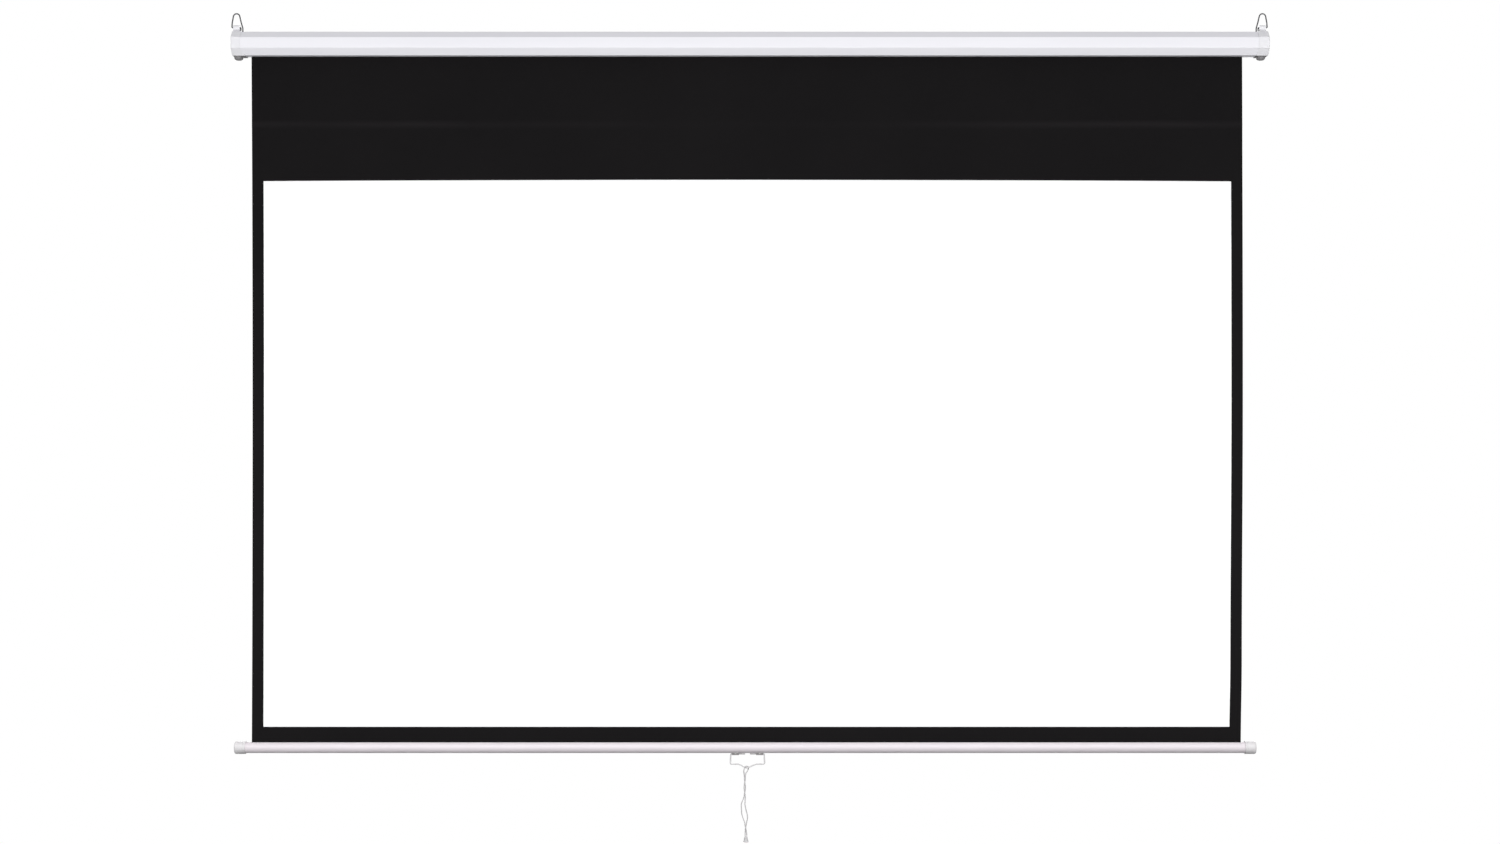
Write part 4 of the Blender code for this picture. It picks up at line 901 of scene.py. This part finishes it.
def sheet_mesh(heights, white_from, white_to):
    """Two layers a cloth's thickness apart, white in front between the two heights, else black."""
    inner = 1 - 2 * SIDE_BORDER / SHEET_WIDTH
    across = [-1, -1 + EDGE_COLUMN, *rows_between(-inner, inner, COLUMNS), 1 - EDGE_COLUMN, 1]
    bm = bmesh.new()
    layers = []
    for side in (-0.5, 0.5):
        shift = Vector((0, side * CLOTH, 0))
        layers.append([[bm.verts.new(sheet_point(u, z) + shift) for u in across] for z in heights])
    front, back = layers
    for j in range(len(heights) - 1):
        lit = white_to <= (heights[j] + heights[j + 1]) / 2 <= white_from
        for i in range(len(across) - 1):
            quad = (front[j][i], front[j + 1][i], front[j + 1][i + 1], front[j][i + 1])
            white = lit and abs(across[i] + across[i + 1]) / 2 < inner
            bm.faces.new(quad).material_index = 0 if white else 1
            quad = (back[j][i], back[j][i + 1], back[j + 1][i + 1], back[j + 1][i])
            bm.faces.new(quad).material_index = 1
    edges = [(front[0], back[0]), (back[-1], front[-1]),
             ([row[0] for row in back], [row[0] for row in front]),
             ([row[-1] for row in front], [row[-1] for row in back])]
    for a, b in edges:
        for i in range(len(a) - 1):
            bm.faces.new((a[i], a[i + 1], b[i + 1], b[i])).material_index = 1
    return bm


def prism_strip(path, edge_z):
    """A band of cloth along a path of (y, z), as wide as the sheet is at a height."""
    low, high = sheet_point(-1, edge_z).x, sheet_point(1, edge_z).x
    path = [Vector((0, y, z)) for y, z in path]
    outline = []
    for side in (0.5, -0.5):
        line = []
        for i, point in enumerate(path):
            ahead = path[min(i + 1, len(path) - 1)] - path[max(i - 1, 0)]
            off = Vector((0, -ahead.z, ahead.y)).normalized()
            line.append(point + side * CLOTH * off)
        outline += line if side > 0 else line[::-1]
    return skin([[p + Vector((low + (high - low) * k / BAND_STEPS, 0, 0)) for p in outline]
                 for k in range(BAND_STEPS + 1)])


def make_sheet():
    """The sheet down to the picture's lower edge, which winds up, and the pieces joined to it."""
    heights = [SHEET_TOP]
    for stop, spacing in ((CREASE_Z + CREASE_HALF, ROWS), (CREASE_Z - CREASE_HALF, CREASE_ROWS),
                          (PICTURE_TOP, ROWS), (PICTURE_BOTTOM, ROWS)):
        heights += rows_between(heights[-1], stop, spacing)[1:]
    white, black = finishes["screen_fabric"], cloth_black("border_black")
    sheet = piece("projection_sheet", sheet_mesh(heights, PICTURE_TOP, PICTURE_BOTTOM), "case",
                  "screen_fabric", ["screen_sheet"])
    sheet.data.materials.append(black)
    lowest = rows_between(PICTURE_BOTTOM, SHEET_BOTTOM, BORDER_ROWS)
    border = piece("sheet_border", sheet_mesh(lowest, 1, 0), "weight_bar_body", "black_fabric",
                   finish=white)
    border.data.materials.append(black)
    wrap = make_wrap()
    hem = make_hem()
    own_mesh(sheet)


def make_wrap():
    """The turns that stay on the roller, as one spiral."""
    path = []
    for k in range(round(WRAP_TURNS * WRAP_STEPS) + 1):
        turn = k / WRAP_STEPS
        reach = WRAP_RADIUS - WRAP_PITCH * turn
        path.append((ROLLER_Y + reach * math.cos(2 * math.pi * turn),
                     ROLLER_Z + reach * math.sin(2 * math.pi * turn)))
    return piece("sheet_turns", prism_strip(path, SHEET_TOP), "roller", "black_fabric",
                 ["fabric_wrap"])


def make_hem():
    """The sheet's end, turned up round the rod and welded to its back."""
    centre = BAR_Z + HEM_RISE
    first, *last = [(SHEET_Y + y * MM, SHEET_BOTTOM + z * MM) for y, z in HEM_WAY]
    loop = []
    for k in range(HEM_STEPS + 1):
        angle = math.radians(HEM_START + HEM_SWEEP * k / HEM_STEPS)
        loop.append((SHEET_Y + HEM_MIDDLE_RADIUS * math.cos(angle),
                     centre + HEM_MIDDLE_RADIUS * math.sin(angle)))
    return piece("hem_loop", prism_strip([first, *loop, *last], SHEET_BOTTOM), "weight_bar_body",
                 "black_fabric", ["hem_sleeve"])


# Small parts of the case and the bar

def make_spring():
    """The winding spring between its two bosses, with a finer round wire."""
    low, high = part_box("torsion_spring")
    run = high[0] - low[0] - SPRING_WIRE
    line = []
    count = SPRING_CURLS * CURL_STEPS
    for k in range(count + 1):
        angle = 2 * math.pi * SPRING_CURLS * k / count
        line.append((low[0] + SPRING_WIRE / 2 + run * k / count,
                     ROLLER_Y + SPRING_RADIUS * math.cos(angle),
                     ROLLER_Z + SPRING_RADIUS * math.sin(angle)))
    rings = tube_rings(line, SPRING_WIRE / 2, sides=12)
    piece("winding_spring", skin(rings), "case", "spring_steel", ["torsion_spring"], sharp=50)


def cross_depth(x, y, head_radius, depth):
    """How deep a cross recess is at a point of a screw's head."""
    along, off = max(abs(x), abs(y)) / head_radius, min(abs(x), abs(y)) / head_radius
    return depth * (1 - eased(off, *RECESS_SIDE)) * (1 - eased(along, *RECESS_END))


def thread_ring(length, radius, z):
    """A ring of a screw's thread, which tapers to its tip."""
    taper = min(1, (z + length) / (1.2 * radius) + 0.25)
    ring = []
    for n in range(SCREW_SIDES):
        turn = n / SCREW_SIDES
        tooth = abs(2 * ((z / THREAD_PITCH + turn) % 1) - 1)
        reach = taper * radius * (0.8 + 0.2 * tooth)
        angle = 2 * math.pi * turn
        ring.append(Vector((reach * math.cos(angle), reach * math.sin(angle), z)))
    return ring


def screw_mesh(length, radius, head_radius, head_height):
    """A pan-head screw up the Z axis: its seat at 0, a thread below and a cross recess on top."""
    rings = []
    for k in range(round(length / THREAD_STEP) + 1):
        rings.append(thread_ring(length, radius, -length + min(length, THREAD_STEP * k)))
    shoulder = HEAD_SIDE[-1][1]
    for share, rise in HEAD_SIDE:
        rings.append(circle(head_radius * share, SCREW_SIDES, head_height * rise))
    for share in HEAD_TOP:
        dome = head_height * (shoulder + (1 - shoulder) * (1 - share ** 3))
        ring = circle(head_radius * share, SCREW_SIDES, dome)
        for point in ring:
            point.z -= cross_depth(point.x, point.y, head_radius, RECESS_DEPTH * head_height)
        rings.append(ring)
    return skin(rings)


def make_screws():
    """Cross-head screws in place of the plain ones."""
    for word in ("left", "right"):
        for place in ("front", "back"):
            screw_at(f"case_screw_{word}_{place}", (0, 0, 1), "case", CASE_SCREW)
            tilt = math.radians(CLIP_TILT if place == "back" else -CLIP_TILT)
            screw_at(f"clip_screw_{word}_{place}", (0, math.sin(tilt), -math.cos(tilt)),
                     "weight_bar_body", CLIP_SCREW)
        inwards = (1 if word == "left" else -1, 0, 0)
        for place in ("upper", "lower"):
            screw_at(f"bracket_screw_{word}_{place}", inwards, "case", BRACKET_SCREW)


def screw_at(node, heading, body, size):
    """Puts a screw where the node is, its head towards the heading."""
    length, radius, head_radius, head_height = [value * MM for value in size]
    low, high = (Vector(c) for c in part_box(node))
    heading = Vector(heading)
    seat = (low + high) / 2 - heading * (head_height - length) / 2
    if node.startswith("clip"):
        seat = Vector((seat.x, SHEET_Y, BAR_Z)) + heading * (BAR_RADIUS + CLIP_SEAT)
    bm = screw_mesh(length, radius, head_radius, head_height)
    turn = Vector((0, 0, 1)).rotation_difference(heading)
    bm.transform(Matrix.Translation(seat) @ turn.to_matrix().to_4x4())
    piece(f"cross_{node}", bm, body, "zinc_plate", [node], sharp=40)


# The solids that stay

def make_crisp():
    """Geometry nodes that weld a solid's triangles, smooth its curves and keep its edges sharp."""
    tree = bpy.data.node_groups.new("crisp", "GeometryNodeTree")
    for way in ("INPUT", "OUTPUT"):
        tree.interface.new_socket("Geometry", in_out=way, socket_type="NodeSocketGeometry")
    start = tree.nodes.new("NodeGroupInput")
    plain = tree.nodes.new("GeometryNodeRemoveAttribute")
    plain.inputs["Name"].default_value = "custom_normal"
    weld = tree.nodes.new("GeometryNodeMergeByDistance")
    weld.inputs["Distance"].default_value = WELD_SOLIDS
    smooth = tree.nodes.new("GeometryNodeSetShadeSmooth")
    bend = tree.nodes.new("GeometryNodeInputMeshEdgeAngle")
    steep = tree.nodes.new("FunctionNodeCompare")
    steep.operation = "GREATER_THAN"
    steep.inputs[1].default_value = math.radians(SHARP_SOLIDS)
    edges = tree.nodes.new("GeometryNodeSetShadeSmooth")
    edges.domain = "EDGE"
    edges.inputs["Shade Smooth"].default_value = False
    out = tree.nodes.new("NodeGroupOutput")
    for a, b in ((start, plain), (plain, weld), (weld, smooth), (smooth, edges), (edges, out)):
        tree.links.new(a.outputs[0], b.inputs[0])
    tree.links.new(bend.outputs["Unsigned Angle"], steep.inputs[0])
    tree.links.new(steep.outputs[0], edges.inputs["Selection"])
    return tree


def dress_solids():
    """Gives each solid that stays its finish, and smooth curves between crisp edges."""
    crisp = make_crisp()
    slots = {part["node"]: part["material_slot"] for part in frame["record"]["subparts"]}
    # The caps' plastic carries painted shade on the undersides of the feet.
    cap_plastic = moulded("cap_plastic", foot_shade=True)
    for name, node in frame["nodes"].items():
        for socket in node.material_slots:
            socket.material = cap_plastic if name.startswith("end_cap") else finishes[slots[name]]
        node.modifiers.new("crisp", "NODES").node_group = crisp
        normals = node.modifiers.new("normals", "WEIGHTED_NORMAL")
        normals.keep_sharp = True


bpy.context.scene.view_settings.view_transform = "Standard"
make_camera()
finishes = make_finishes()
make_cord()
make_world()
make_lights()
make_floor()
make_sheet()
make_handle()
make_bails()
make_spring()
make_screws()
dress_solids()
